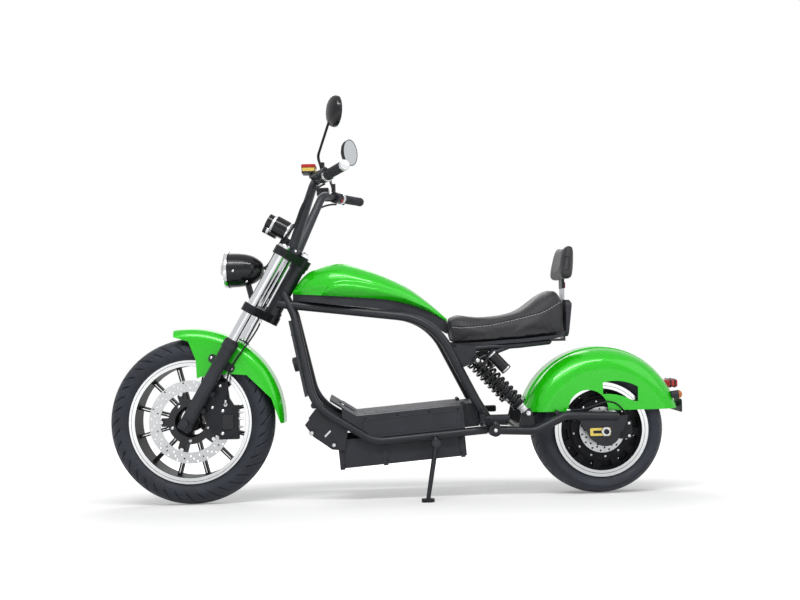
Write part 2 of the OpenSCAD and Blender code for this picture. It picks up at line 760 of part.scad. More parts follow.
module battery_case() {
  case_len = case_front_x - case_rear_x;
  color(black) lean() deck_frame() difference() {
    union() {
      translate([case_rear_x, -case_half_w, -case_depth]) cube([case_len, 2 * case_half_w,
        case_depth + deck_low]);
      for (s = case_rib_shares, y = [-1, 1]) translate([case_front_x - s * case_len - case_rib_w / 2,
        y > 0 ? case_half_w : -case_half_w - case_rib_t, -case_depth - case_rib_t])
        cube([case_rib_w, case_rib_t, case_depth - cradle_r]);
    }
    translate([case_rear_x + case_wall, -case_half_w + case_wall, -case_depth + case_wall])
      cube([case_len - 2 * case_wall, 2 * (case_half_w - case_wall), case_depth + deck_low + overrun]);
  }
}

module battery() {
  color(grey) lean() deck_frame() translate([battery_front_x - battery_len,
    -case_half_w + case_wall + battery_gap,
    -case_depth + case_wall]) cube([battery_len, 2 * (case_half_w - case_wall - battery_gap),
    case_depth - case_wall + deck_h - 2 * lid_t - battery_gap]);
}

// Swingarm and shocks
arm_kink = [-476, 241];
arm_rise = [-582, 291];
arm_end = [-757, 284];
arm_bend_r = 70;
boss_r = 22;
arm_cross_x = -432;
drop_t = 10;
drop_r = 52;
shock_foot = [-450, 0, 305];
lug_t = 8;
clevis_half = 33;
// Axle plate corners below the arm, as shares of its drop to the axle
drop_shares = [[-1.6, 1.05], [1.9, 1.05], [1.5, 0.2], [0.6, -0.55], [-0.6, -0.55], [-1.3, 0.2]];
fender_boss_r = 9;
fender_boss_x = [-556, -800];

module arm_tube(grow) bent_tube([[pivot_x, arm_y, pivot_z], [arm_kink.x, arm_y, arm_kink.y],
  [arm_rise.x, arm_y, arm_rise.y], [arm_end.x, arm_y, arm_end.y]], arm_r + grow, [arm_bend_r, arm_bend_r]);

module swingarm() {
  drop = arm_end.y - rear_tyre_r;
  color(black) lean() difference() {
    both() {
      arm_tube(0);
      across(pivot_x, pivot_z, lug_out + face_gap, arm_y + arm_r, boss_r);
      // Pivot bolt
      across(pivot_x, pivot_z, 0, arm_y, pivot_bolt_r - weld_gap);
      across(pivot_x, pivot_z, arm_y, arm_y + arm_r + pivot_head_t, pivot_head_r);
      across(arm_cross_x, mix(pivot_z, arm_kink.y, 0.7), 0, arm_y, arm_r * 0.9);
      translate([rear_x, 0, rear_tyre_r]) side_plate(arm_y - drop_t / 2, arm_y + drop_t / 2)
        polygon(drop_shares * drop);
      across(rear_x, rear_tyre_r, arm_y - drop_t / 2 + bend_step, arm_y + drop_t / 2 - bend_step, drop_r);
      // Shock clevis
      side_plate(arm_y - shock_eye_w / 2 - face_gap - lug_t, arm_y - shock_eye_w / 2 - face_gap)
        polygon([[shock_foot.x + clevis_half, arm_kink.y], [shock_foot.x + shock_eye_r,
          shock_foot.z + shock_eye_r],
          [shock_foot.x - shock_eye_r, shock_foot.z + shock_eye_r], [shock_foot.x - clevis_half,
            arm_kink.y]]);
      across(shock_foot.x, shock_foot.z, arm_y - shock_eye_w / 2 - lug_t,
        arm_y + shock_eye_w / 2 + lug_t, shock_pin_r);
      // Fender mounting boss at the arm's inner side
      across(fender_boss_x[0], arm_rise.y + arm_r * 0.6, rear_fender_half_w + face_gap, arm_y,
        fender_boss_r);
    }
    across(rear_x, rear_tyre_r, -2 * arm_y, 2 * arm_y, rear_axle_r + weld_gap);
  }
}

shock_len = norm(shock_top - shock_foot);
shock_deg = atan2(shock_top.x - shock_foot.x, shock_top.z - shock_foot.z);
shock_rod_r = 8;
shock_body_r = 17;
shock_body_share = 0.42;
cup_r = 28;
cup_t = 6;
cup_low_share = 0.18;
cup_high_share = 0.88;
reservoir_r = 19;
reservoir_off = 50;
reservoir_share = [0.62, 0.96];
spring_r = 23;
wire_r = 4.5;
spring_turns = 8;
spring_steps = 14;
spring_sides = 6;

module shock_frame() both() translate([shock_foot.x, arm_y, shock_foot.z]) rotate([0, shock_deg,
  0]) children();

module shocks() {
  color(black) lean() shock_frame() difference() {
    union() {
      for (z = [0, shock_len]) translate([0, 0, z]) across(0, 0, -shock_eye_w / 2, shock_eye_w / 2,
        shock_eye_r);
      cylinder(r = shock_body_r * 0.7, h = shock_len * cup_low_share - cup_t / 2);
      translate([0, 0, shock_len * cup_low_share - cup_t / 2]) cylinder(r = shock_body_r,
        h = shock_len * shock_body_share);
      cylinder(r = shock_rod_r, h = shock_len);
      translate([0, 0, shock_len * cup_low_share - cup_t]) cylinder(r = cup_r, h = cup_t);
      translate([0, 0, shock_len * cup_high_share]) cylinder(r = cup_r, h = cup_t);
      // Reservoir beside the upper end, on its arm
      translate([-reservoir_off, 0, shock_len * reservoir_share[0]])
        cylinder(r = reservoir_r, h = shock_len * (reservoir_share[1] - reservoir_share[0]));
      rod([0, 0, shock_len * cup_high_share + cup_t], [-reservoir_off, 0,
        shock_len * cup_high_share + cup_t],
        shock_rod_r * 0.8);
    }
    for (z = [0, shock_len]) translate([0, 0, z])
      across(0, 0, -shock_eye_w, shock_eye_w, shock_pin_r + weld_gap);
  }
}

module shock_springs() {
  low = shock_len * cup_low_share + wire_r + face_gap;
  high = shock_len * cup_high_share - wire_r - face_gap;
  steps = spring_turns * spring_steps;
  color(black) lean() shock_frame() sweep([for (i = [0 : steps])
    [spring_r * cos(360 * i / spring_steps), spring_r * sin(360 * i / spring_steps), mix(low, high,
      i / steps)]],
    wire_r, spring_sides);
}

// Rear fender
fender_back = 8;
fender_up = 2.5;
rear_fender_c = [rear_x - fender_back, rear_tyre_r + fender_up];
rear_fender_round = 70;
rear_fender_span = [11, 176];
band_half_w = 34;
band_h = 5;
skirt_z = 302;
arch_x = -668;
arch_r = 70;
arch_z = 305;
// Leaf-shaped slot: two arcs that meet in points, as shares of the fender radius
leaf_c_share = [-0.13, 0.02];
leaf_outer_share = 0.58;
leaf_inner_c_share = [-0.02, -0.22];
leaf_inner_share = 0.66;

module fender_shell(half_w, r, low, round, span) {
  rotate([90, 0, 0]) rotate(span[0]) rotate_extrude(angle = span[1] - span[0], $fn = 96) difference() {
    fender_profile(half_w, r, low, round);
    fender_profile(half_w - fender_wall, r - fender_wall, low - overrun, round - fender_wall);
  }
}
// Fender section: radius outwards along x, sideways along y
module fender_profile(half_w, r, low, round) {
  translate([low, -half_w]) square([r - round - low, 2 * half_w]);
  translate([low, -half_w + round]) square([r - low, 2 * half_w - 2 * round]);
  for (s = [-1, 1]) translate([r - round, s * (half_w - round)]) circle(r = round);
}

module rear_fender() {
  color(green) lean() difference() {
    translate([rear_fender_c.x, 0, rear_fender_c.y]) union() {
      fender_shell(rear_fender_half_w, rear_fender_r, rear_lip_r * 0.3, rear_fender_round,
        rear_fender_span);
      rotate([90, 0, 0]) rotate(rear_fender_span[0])
        rotate_extrude(angle = rear_fender_span[1] - rear_fender_span[0], $fn = 96)
        translate([rear_fender_r - fender_wall, -band_half_w]) square([fender_wall + band_h,
          2 * band_half_w]);
    }
    // Level lower edge, with the arch over the axle
    translate([rear_x - rear_fender_r * 2, -arm_y, 0]) cube([rear_fender_r * 4, 2 * arm_y, skirt_z]);
    across(arch_x, arch_z, -arm_y, arm_y, arch_r);
    // Leaf slot in each side
    translate([rear_fender_c.x, 0, rear_fender_c.y]) side_plate(-arm_y, arm_y) intersection() {
      translate(leaf_c_share * rear_fender_r) circle(r = leaf_outer_share * rear_fender_r);
      difference() {
        translate([-rear_fender_r * 0.42, rear_fender_r * 0.34]) square([rear_fender_r * 0.44,
          rear_fender_r * 0.3]);
        translate(leaf_inner_c_share * rear_fender_r) circle(r = leaf_inner_share * rear_fender_r);
      }
    }
  }
}

lamp_pos = [-968, 0, 383];
lamp_half_w = 34;
tail_lamp_h = 26;
lamp_len = 46;
stalk_y = 92;
stalk_z = 349;
stalk_x = -962;
stalk_r = 6;
bullet_r = 15;
bullet_len = 40;
plate_t = 3;
plate_gap = 3;
plate_x = rear_fender_c.x - rear_fender_r - band_h - plate_gap - plate_t;
plate_z = 306;
plate_half_w = 66;
plate_h = 46;
plate_hole_r = 3.25;
plate_pcd = 100;
plate_arm_w = 14;

module fender_outside(grow) translate([rear_fender_c.x, 0, rear_fender_c.y]) rotate([90, 0, 0])
  rotate_extrude($fn = 96) union() {
    fender_profile(rear_fender_half_w + grow, rear_fender_r + grow, 0, rear_fender_round);
    translate([0, -band_half_w - grow]) square([rear_fender_r + band_h + grow, 2 * band_half_w + 2 * grow]);
  }

module tail_lamp() {
  color(red) lean() difference() {
    translate([lamp_pos.x - lamp_len, 0, lamp_pos.z]) rotate([90, 0, 90]) linear_extrude(2 * lamp_len)
      soft_rect(lamp_half_w, -tail_lamp_h / 2, tail_lamp_h / 2, tail_lamp_h / 4);
    fender_outside(face_gap);
  }
}

module rear_indicators() {
  color(black) lean() difference() {
    union() {
      across(stalk_x - bullet_r, stalk_z, -stalk_y, stalk_y, stalk_r);
      both() translate([stalk_x - bullet_len - bullet_r / 2, stalk_y, stalk_z]) rotate([0, 90,
        0]) rotate_extrude()
        polygon(concat([[0, 0]], [for (i = [0 : 6]) [bullet_r * sin(15 * i), bullet_r * (1 - cos(15 * i))]],
          [[bullet_r * 0.8, bullet_len], [0, bullet_len]]));
    }
    fender_outside(face_gap);
  }
}

module plate_bracket() {
  color(black) lean() difference() {
    union() {
      translate([plate_x, 0, plate_z]) rotate([90, 0, 90]) linear_extrude(plate_t)
        soft_rect(plate_half_w, -plate_h / 2, plate_h / 2, plate_h / 6);
      both() translate([plate_x + plate_t / 2, plate_arm_w, plate_z - plate_arm_w / 2])
        cube([lamp_len, plate_t, plate_arm_w]);
    }
    for (s = [-1, 1]) translate([plate_x - overrun, s * plate_pcd / 2, plate_z]) rotate([0, 90, 0])
      cylinder(r = plate_hole_r, h = plate_t + 2 * overrun);
    fender_outside(face_gap);
  }
}

// Rear wheel
bead_drop = 9;
rear_bead_r = rear_lip_r - bead_drop;
rear_bead_share = 0.86;
lip_t = 7;
rear_flange = rear_bead_share * rear_tyre_w / 2 + seat_gap;
motor_r = 106;
motor_half_w = 84;
rear_cover_r = 58;
rear_hub_half_w = 100;
rear_face = 70;
window_count = 12;
window_r = [116, 138];
window_deg = 18;
// Radius share from bead to crown, half width share
rear_tyre_shares = [[0, 0.8], [0.13, 0.85], [0.3, 0.955], [0.47, 1.0], [0.62, 0.965], [0.79, 0.8],
  [0.895, 0.6], [0.965, 0.34], [1, 0]];
front_tyre_shares = [[0, 0.72], [0.13, 0.79], [0.33, 0.96], [0.5, 1.0], [0.7, 0.92], [0.88, 0.62], [0.97,
  0.3], [1, 0]];
tyre_steps = 3;

module tyre(crown_r, bead_r, w, shares) {
  half = [for (s = spline(shares, tyre_steps)) [bead_r + s.x * (crown_r - bead_r), s.y * w / 2]];
  rotate_extrude($fn = 96) polygon(concat(half, [for (i = [len(half) - 2 : -1 : 0]) [half[i].x,
    -half[i].y]]));
}

module rear_tyre() {
  color(rubber) lean() rear_hub() tyre(rear_tyre_r, rear_bead_r, rear_tyre_w, rear_tyre_shares);
}

module rear_rim() {
  color(black) lean() rear_hub() difference() {
    union() {
      rotate_extrude($fn = 96) {
        // Barrel and lips
        translate([rear_bead_r - weld_gap - lip_t, -rear_flange]) square([lip_t, 2 * rear_flange]);
        for (s = [-1, 1]) translate([rear_bead_r - 2 * lip_t, s > 0 ? rear_flange : -rear_flange - lip_t])
          square([rear_lip_r - rear_bead_r + 2 * lip_t, lip_t]);
        // Ring face
        translate([motor_r - lip_t, -rear_face]) square([rear_bead_r - motor_r, 2 * rear_face]);
        square([motor_r, motor_half_w]);
        translate([0, -motor_half_w]) square([motor_r, motor_half_w]);
        translate([0, -rear_hub_half_w]) square([rear_cover_r, 2 * rear_hub_half_w]);
      }
    }
    for (i = [0 : window_count - 1]) rotate(i * 360 / window_count) for (z = [rear_face - 2 * lip_t,
      -rear_face - lip_t])
      translate([0, 0, z]) rotate_extrude(angle = window_deg) translate([window_r[0], 0])
        square([window_r[1] - window_r[0], 3 * lip_t]);
    translate([0, 0, -2 * rear_hub_half_w]) cylinder(r = rear_axle_r + run_gap, h = 4 * rear_hub_half_w);
  }
}

disc_hole_r = 3.5;
module drilled_ring(r_out, r_in, rows, count) difference() {
  cylinder(r = r_out, h = disc_t);
  translate([0, 0, -overrun]) cylinder(r = r_in, h = disc_t + 2 * overrun);
  for (k = [0 : rows - 1], i = [0 : count - 1]) rotate((i + k / rows) * 360 / count)
    translate([mix(r_in, r_out, (k + 1.3) / (rows + 1)), 0, -overrun]) cylinder(r = disc_hole_r,
      h = disc_t + 2 * overrun);
}

rear_disc_in = 50;
module rear_disc() {
  color(steel) lean() rear_hub() translate([0, 0, rear_hub_half_w + weld_gap])
    drilled_ring(rear_disc_r, rear_disc_in, 2, 15);
}

rear_nut_r = 15;
rear_nut_t = 12;
spacer_gap = 3;
module rear_axle() {
  color(steel) lean() {
    across(rear_x, rear_tyre_r, -arm_y - drop_t - rear_nut_t, arm_y + drop_t + rear_nut_t, rear_axle_r);
    both() {
      across(rear_x, rear_tyre_r, arm_y + drop_t / 2 + weld_gap, arm_y + drop_t / 2 + rear_nut_t,
        rear_nut_r);
      across(rear_x, rear_tyre_r, rear_hub_half_w + disc_t + spacer_gap, arm_y - drop_t / 2 - weld_gap,
        rear_nut_r);
    }
  }
}

caliper_gap = 5;
rear_cal_len = 62;
rear_cal_in = 56;
rear_cal_out = 100;
rear_cal_out_y = 118;
rear_cal_w = 28;
rear_foot = [14, 40];
cal_proud = 2;
module rear_caliper() {
  color(black) lean() difference() {
    union() {
      translate([rear_x - rear_cal_out, rear_hub_half_w - cal_proud, rear_tyre_r - rear_cal_len / 2])
        cube([rear_cal_out - rear_cal_in, rear_cal_w, rear_cal_len]);
      translate([rear_x - rear_cal_in - rear_foot.x, rear_cal_out_y, rear_tyre_r - rear_foot.y / 4])
        cube([rear_foot.x, arm_y - drop_t / 2 - rear_cal_out_y - weld_gap, rear_foot.y]);
    }
    rear_hub() translate([0, 0, rear_hub_half_w - caliper_gap]) cylinder(r = rear_disc_r + caliper_gap,
      h = disc_t + 2 * caliper_gap);
  }
}

// Front wheel
front_bead_share = 0.79;
front_bead_r = front_lip_r - bead_drop;
front_flange = front_bead_share * front_tyre_w / 2 + seat_gap;
hub_r = 30;
flange_in = 54;
flange_out = 66;
web_half = 14;
hub_window_count = 5;
hub_window_deg = 48;
hub_half_w = 46;
barrel_t = 12;
spoke_w = 13;
spoke_deep = 26;
spoke_groove = 3;
front_disc_in = 106;
carrier_r = 78;
arm_count = 5;
carrier_arm_w = 30;
bobbin_r = 9;
// Step between carrier and floating ring
float_t = 0.5;

module front_tyre() {
  color(rubber) steered() front_hub() tyre(front_tyre_r, front_bead_r, front_tyre_w, front_tyre_shares);
}

module front_rim() {
  color(black) steered() front_hub() difference() {
    union() {
      rotate_extrude($fn = 96) {
        translate([front_bead_r - weld_gap - barrel_t, -front_flange]) square([barrel_t, 2 * front_flange]);
        for (s = [-1, 1]) translate([front_bead_r - barrel_t, s > 0 ? front_flange : -front_flange - lip_t])
          square([front_lip_r - front_bead_r + barrel_t, lip_t]);
        translate([0, -hub_half_w]) square([hub_r, 2 * hub_half_w]);
        // Web round the hub, and the flange that carries the disc
        translate([hub_r - overrun, -web_half]) square([flange_in - hub_r + 2 * overrun, 2 * web_half]);
        translate([flange_in, -web_half - float_t]) square([flange_out - flange_in,
          hub_half_w + web_half + float_t]);
      }
      for (i = [0 : spoke_count - 1]) rotate((i + 0.5) * 360 / spoke_count)
        translate([hub_r - overrun, -spoke_w / 2, -spoke_deep / 2])
          cube([front_bead_r - barrel_t - hub_r + 2 * overrun, spoke_w, spoke_deep]);
    }
    // Windows in the web
    for (i = [0 : hub_window_count - 1]) rotate((i + 0.25) * 360 / hub_window_count)
      translate([0, 0, -hub_half_w]) rotate_extrude(angle = hub_window_deg)
        translate([hub_r + overrun, 0]) square([flange_in - hub_r - 2 * overrun, 2 * hub_half_w]);
    // Groove along the middle of each spoke
    for (i = [0 : spoke_count - 1], s = [-1, 1]) rotate((i + 0.5) * 360 / spoke_count)
      translate([flange_out + overrun, -spoke_groove / 2, s * spoke_deep / 2 - spoke_groove])
        cube([front_bead_r - barrel_t - flange_out - 2 * overrun, spoke_groove, 2 * spoke_groove]);
    translate([0, 0, -2 * hub_half_w]) cylinder(r = front_axle_r + run_gap, h = 4 * hub_half_w);
  }
}

module front_disc() {
  color(steel) steered() front_hub() translate([0, 0, hub_half_w + weld_gap]) {
    translate([0, 0, float_t]) drilled_ring(front_disc_r, front_disc_in, 3, 24);
    difference() {
      union() {
        cylinder(r = carrier_r, h = disc_t);
        for (i = [0 : arm_count - 1]) rotate(i * 360 / arm_count) {
          translate([flange_out, -carrier_arm_w / 2, float_t / 2])
            cube([front_disc_in - flange_out - bobbin_r / 2, carrier_arm_w, disc_t - float_t]);
          translate([front_disc_in - bobbin_r / 2, 0, 2 * float_t]) cylinder(r = bobbin_r,
            h = disc_t + lip_t / 2);
        }
      }
      translate([0, 0, -overrun]) cylinder(r = flange_in + float_t, h = disc_t + 2 * overrun);
    }
  }
}

axle_end = 18;
spacer_r = 14;
module front_axle() {
  color(steel) steered() {
    across(front_x, front_tyre_r, -leg_y - slider_r - axle_end, leg_y + slider_r + axle_end, front_axle_r);
    both() {
      across(front_x, front_tyre_r, leg_y + slider_r + weld_gap, leg_y + slider_r + axle_end, spacer_r);
      across(front_x, front_tyre_r, hub_half_w + disc_t + spacer_gap, leg_y - slider_r - weld_gap,
        spacer_r);
    }
  }
}

// Fork
clamp_wall = 10;
clamp_boss_r = stanchion_r + clamp_wall;
clamp_stem_r = 34;
cap_r = 20;
cap_h = 8;
slider_low = 26;
collar_step = 3;
slider_collar_r = slider_r + collar_step;
slider_collar_h = 26;
slider_bore_deep = 90;

module clamp_plate() linear_extrude(clamp_t) difference() {
  union() {
    for (s = [-1, 1]) translate([0, s * leg_y]) circle(r = clamp_boss_r);
    translate([-fork_offset, 0]) circle(r = clamp_stem_r);
    polygon([[-fork_offset - clamp_stem_r, 0], [-clamp_boss_r, -leg_y], [clamp_boss_r * 0.8, -leg_y],
      [clamp_boss_r * 0.5, 0], [clamp_boss_r * 0.8, leg_y], [-clamp_boss_r, leg_y]]);
  }
  for (s = [-1, 1]) translate([0, s * leg_y]) circle(r = stanchion_r + weld_gap);
}

module fork_clamps() {
  color(black) steered() fork_frame() {
    for (h = [lower_clamp_h, upper_clamp_h]) translate([0, 0, h - clamp_t / 2]) clamp_plate();
    translate([-fork_offset, 0, lower_clamp_h]) cylinder(r = stem_r, h = upper_clamp_h - lower_clamp_h);
    translate([-fork_offset, 0, upper_clamp_h]) cylinder(r = cap_r, h = clamp_t / 2 + cap_h);
  }
}

module stanchions() {
  color(chrome) steered() fork_frame() both() translate([0, leg_y, 0]) {
    translate([0, 0, slider_top_h - slider_bore_deep + face_gap])
      cylinder(r = stanchion_r, h = upper_clamp_h + clamp_t / 2 - slider_top_h + slider_bore_deep);
    translate([0, 0, upper_clamp_h + clamp_t / 2 + face_gap]) cylinder(r = cap_r, h = cap_h);
  }
}

lug_boss_r = 20;
fender_stud_h = [212, 256];
fender_stud_r = 9;
cal_lug_h = [62, 128];
cal_lug_r = 10;
module sliders() {
  color(black) steered() difference() {
    fork_frame() both() translate([0, leg_y, 0]) {
      translate([0, 0, -slider_low]) cylinder(r = slider_r, h = slider_top_h + slider_low);
      translate([0, 0, slider_top_h - slider_collar_h]) cylinder(r = slider_collar_r, h = slider_collar_h);
      across(0, 0, -slider_r, slider_r, lug_boss_r);
      // Bosses that carry the fender
      for (h = fender_stud_h) across(0, h, front_fender_half_w + face_gap - leg_y, 0, fender_stud_r);
    }
    across(front_x, front_tyre_r, -2 * leg_y, 2 * leg_y, front_axle_r + weld_gap);
    fork_frame() both() translate([0, leg_y, slider_top_h - slider_bore_deep])
      cylinder(r = stanchion_r + weld_gap, h = slider_bore_deep + overrun);
  }
}

front_cal_x = [-172, -104];
front_cal_y = [40, 68];
front_cal_z = [-62, 56];
cal_plate_t = 7.5;
// Plate corners from the axle, forward and up
cal_plate_pts = [[-51, 30], [-47, 46], [-79, 113], [-107, 138], [-135, 132], [-143, 80], [-170, 38],
  [-170, -30], [-153, -54], [-103, -50], [-77, -36]];
module front_caliper() {
  color(black) steered() difference() {
    union() {
      translate([front_x + front_cal_x[0], front_cal_y[0], front_tyre_r + front_cal_z[0]])
        cube([front_cal_x[1] - front_cal_x[0], front_cal_y[1] - front_cal_y[0],
          front_cal_z[1] - front_cal_z[0]]);
      // Mounting arm up to the slider's lugs
      translate([front_x, 0, front_tyre_r]) side_plate(front_cal_y[1] - cal_plate_t,
        front_cal_y[1] + cal_proud)
        polygon(cal_plate_pts);
      for (h = cal_lug_h) fork_frame() across(-slider_r - cal_lug_r / 2, h,
        front_cal_y[1] - cal_plate_t / 2, leg_y, cal_lug_r * 0.9);
    }
    fork_frame() translate([0, leg_y, -slider_low]) cylinder(r = slider_r + weld_gap, h = slider_top_h);
    front_hub() translate([0, 0, hub_half_w - caliper_gap]) cylinder(r = front_disc_r + caliper_gap,
      h = disc_t + lip_t / 2 + 2 * caliper_gap);
  }
}

// Front fender
front_fender_round = 40;
front_fender_span = [80, 182];
// Lower edge of the side skirt: angle about the axle and radius share of the fender
skirt_shares = [[80, 0.92], [90, 0.86], [97, 0.66], [101, 0.47], [106, 0.50], [118, 0.56], [130, 0.66],
  [142, 0.79], [165, 0.91], [184, 0.985]];

module front_fender() {
  color(green) steered() intersection() {
    translate([front_x, 0, front_tyre_r])
      fender_shell(front_fender_half_w, front_fender_r, carrier_r, front_fender_round, front_fender_span);
    translate([front_x, 0, front_tyre_r]) side_plate(-leg_y, leg_y) polygon(concat(
      [for (s = skirt_shares) front_fender_r * s[1] * [cos(s[0]), sin(s[0])]],
      [for (a = [184, 158, 132, 106, 80]) 1.1 * front_fender_r * [cos(a), sin(a)]]));
  }
}

// Headlamp
lamp_ahead = 104.2;
lamp_h = 556.5;
lamp_c = [fork_pt(lamp_ahead, 0, lamp_h).x, fork_pt(lamp_ahead, 0, lamp_h).z];
lamp_back = 72;
lamp_front = 50;
lamp_rim_t = 14;
lens_bulge = 20;
lamp_wall = 3;
// Bucket section: length share from the back, radius share
bucket_shares = [[0, 0], [0.03, 0.30], [0.12, 0.55], [0.32, 0.82], [0.6, 0.96], [0.88, 1.0], [1, 1.0]];
lamp_arm_r = 11;

module headlamp() {
  bucket_len = lamp_back + lamp_front;
  color(black) steered() {
    translate([lamp_c.x - lamp_back, 0, lamp_c.y]) rotate([0, 90, 0]) difference() {
      rotate_extrude($fn = 64) polygon(concat(
        [for (s = spline(bucket_shares, 3)) [max(s.y, 0) * lamp_r * 0.96, s.x * bucket_len]],
        [[lamp_r, bucket_len], [lamp_r, bucket_len + lamp_rim_t], [0, bucket_len + lamp_rim_t]]));
      translate([0, 0, bucket_len - lamp_rim_t]) cylinder(r = lamp_r - 2 * lamp_wall, h = 3 * lamp_rim_t);
    }
    difference() {
      rod(fork_pt(0, 0, lower_clamp_h), [lamp_c.x - lamp_arm_r, 0, lamp_c.y - lamp_r * 0.6], lamp_arm_r);
      fork_frame() translate([0, 0, lower_clamp_h - clamp_t / 2]) linear_extrude(clamp_t + face_gap)
        square([4 * clamp_boss_r, 4 * clamp_boss_r], center = true);
    }
  }
}

module headlamp_lens() {
  lens_r = lamp_r - 2 * lamp_wall - seat_gap;
  dome_r = (lens_r * lens_r + lens_bulge * lens_bulge) / (2 * lens_bulge);
  color(clear_white) steered() translate([lamp_c.x + lamp_front, 0, lamp_c.y]) rotate([0, 90, 0]) {
    cylinder(r = lens_r, h = lamp_rim_t);
    intersection() {
      translate([0, 0, lamp_rim_t + lens_bulge - dome_r]) sphere(r = dome_r, $fn = 96);
      translate([0, 0, lamp_rim_t]) cylinder(r = lens_r, h = lens_bulge);
    }
  }
}

// Handlebar
riser_base = [-24, 52, upper_clamp_h + clamp_t / 2 + face_gap];
riser_r = 19;
riser_top_r = 15;
elbow_pt = [258, 140, 1110];
elbow_bend_r = 42;
bar_end = [140, bar_half_w, bar_z];
bar_dir = unit(bar_end - elbow_pt);
bar_len = norm(bar_end - elbow_pt);
function bar_pt(d) = elbow_pt + bar_dir * d;
riser_foot = fork_pt(riser_base.x, riser_base.y, riser_base.z);
riser_dir = unit(elbow_pt - riser_foot);
elbow_t = elbow_bend_r * tan(acos(riser_dir * bar_dir) / 2);
foot_block = [46, 44, 20];
grip_len = 128;
grip_start = bar_len - grip_len;
pod_r = 21;
pod_len = 40;
pod_gap = 2;
grip_flange = 4;
pod_space = 10;
pod_start = grip_start - pod_len - pod_space;
clamp_len = 24;

module bar_frame(d) translate(bar_pt(d)) rotate([0, acos(bar_dir.z), atan2(bar_dir.y, bar_dir.x)])
  children();

module handlebar() {
  color(grey) steered() both() {
    bar(riser_foot + riser_dir * riser_r / 2, elbow_pt - riser_dir * elbow_t, riser_r, riser_top_r);
    bent_tube([elbow_pt - riser_dir * (elbow_t + overrun), elbow_pt,
      elbow_pt + bar_dir * (elbow_t + overrun)], riser_top_r, [elbow_bend_r]);
    rod(elbow_pt + bar_dir * elbow_t, bar_end, bar_r);
    fork_frame() translate([riser_base.x - foot_block.x / 2, riser_base.y - foot_block.y / 2,
      riser_base.z]) cube(foot_block);
  }
}

module grips() {
  color(rubber) steered() both() bar_frame(grip_start) difference() {
    union() {
      cylinder(r = grip_r, h = grip_len + overrun);
      cylinder(r = grip_r + grip_flange, h = overrun);
    }
    translate([0, 0, -overrun]) cylinder(r = bar_r + weld_gap, h = grip_len + overrun + weld_gap);
  }
}

lever_reach = 46;
lever_r = 6;
lever_tip_share = 0.94;
tank_size = [44, 52, 24];
module controls() {
  lever_root = bar_pt(pod_start + pod_len / 2) + [lever_reach, 0, 0];
  lever_tip = bar_pt(bar_len * lever_tip_share) + [lever_reach + lever_r, 0, -lever_r];
  color(black) steered() both() difference() {
    union() {
      bar_frame(pod_start) cylinder(r = pod_r, h = pod_len);
      rod(bar_pt(pod_start + pod_len / 2), lever_root, pod_r * 0.6);
      bar(lever_root, lever_tip, lever_r * 1.4, lever_r);
      translate(lever_tip) sphere(r = lever_r * 1.3);
      translate(lever_root + [-tank_size.x / 3, -tank_size.y / 2, pod_r * 0.4]) cube(tank_size);
      bar_frame(pod_start - clamp_len - pod_gap) translate([0, 0, pod_len / 2]) cylinder(r = pod_r * 0.9,
        h = clamp_len);
    }
    rod(elbow_pt, bar_end, bar_r + weld_gap);
  }
}

stem_tube_r = 4.5;
mirror_base_off = 4;
mirror_base_d = pod_start - mirror_base_off;
mirror_rim = 3;
mirror_lip = 5;
mirror_bend_r = 30;
mirror_knee = [14, 8, 70];
boss_h = 30;
module mirror_frame() translate(mirror_pos) rotate([0, 0, mirror_turn]) rotate([0, -90, 0]) children();

module mirrors() {
  base = bar_pt(mirror_base_d);
  color(black) steered() both() difference() {
    union() {
      mirror_frame() difference() {
        rotate_extrude($fn = 64) polygon(concat([for (i = [0 : 8]) [mirror_r * sin(90 * i / 8),
          -mirror_depth * cos(90 * i / 8)]],
          [[mirror_r, mirror_depth / 4], [0, mirror_depth / 4]]));
        translate([0, 0, mirror_depth / 8]) cylinder(r = mirror_r - mirror_rim, h = mirror_depth);
      }
      rod(base, base + [0, 0, pod_r + boss_h], stem_tube_r * 1.8);
      bent_tube([base + [0, 0, pod_r], base + mirror_knee, mirror_pos + [mirror_depth * 0.6,
        mirror_depth * 0.2, -mirror_r * 0.5]], stem_tube_r, [mirror_bend_r]);
    }
    mirror_frame() translate([0, 0, -mirror_depth / 8]) cylinder(r = mirror_r - mirror_lip,
      h = mirror_depth / 3);
    mirror_frame() translate([0, 0, mirror_depth / 8]) cylinder(r = mirror_r - mirror_rim,
      h = mirror_depth);
    bar_frame(pod_start - clamp_len - pod_gap - overrun) cylinder(r = pod_r + face_gap,
      h = pod_len * 2 + clamp_len);
  }
}

module mirror_glass() {
  color(chrome) steered() both() mirror_frame() translate([0, 0, mirror_depth / 8 + weld_gap])
    cylinder(r = mirror_r - mirror_rim - seat_gap, h = mirror_depth / 10);
}

pod_lift = 76;
pod_pos = [30, 0, upper_clamp_h + pod_lift];
gauge_r = 36;
gauge_len = 62;
gauge_band = 8;
gauge_cap_r = 29;
gauge_cap_len = 14;
second_r = 17;
gauge_arm = [20, 30, 40];
module gauge_pod() {
  color(black) steered() fork_frame() {
    translate(pod_pos) rotate([0, 90, 0]) {
      cylinder(r = gauge_r, h = gauge_len);
      translate([0, 0, gauge_len]) cylinder(r = gauge_cap_r, h = gauge_band + gauge_cap_len);
    }
    translate([pod_pos.x + gauge_len / 2, 0, pod_pos.z - gauge_r * 0.8]) rotate([0, 90, 0])
      cylinder(r = second_r, h = gauge_len / 2 + gauge_band + gauge_cap_len);
    translate([clamp_boss_r * 0.3 - gauge_arm.x, -gauge_arm.y / 2, upper_clamp_h + clamp_t / 2 + face_gap])
      cube([gauge_arm.x + pod_pos.x, gauge_arm.y, pod_pos.z - upper_clamp_h - clamp_t / 2 - gauge_r * 0.6]);
  }
}

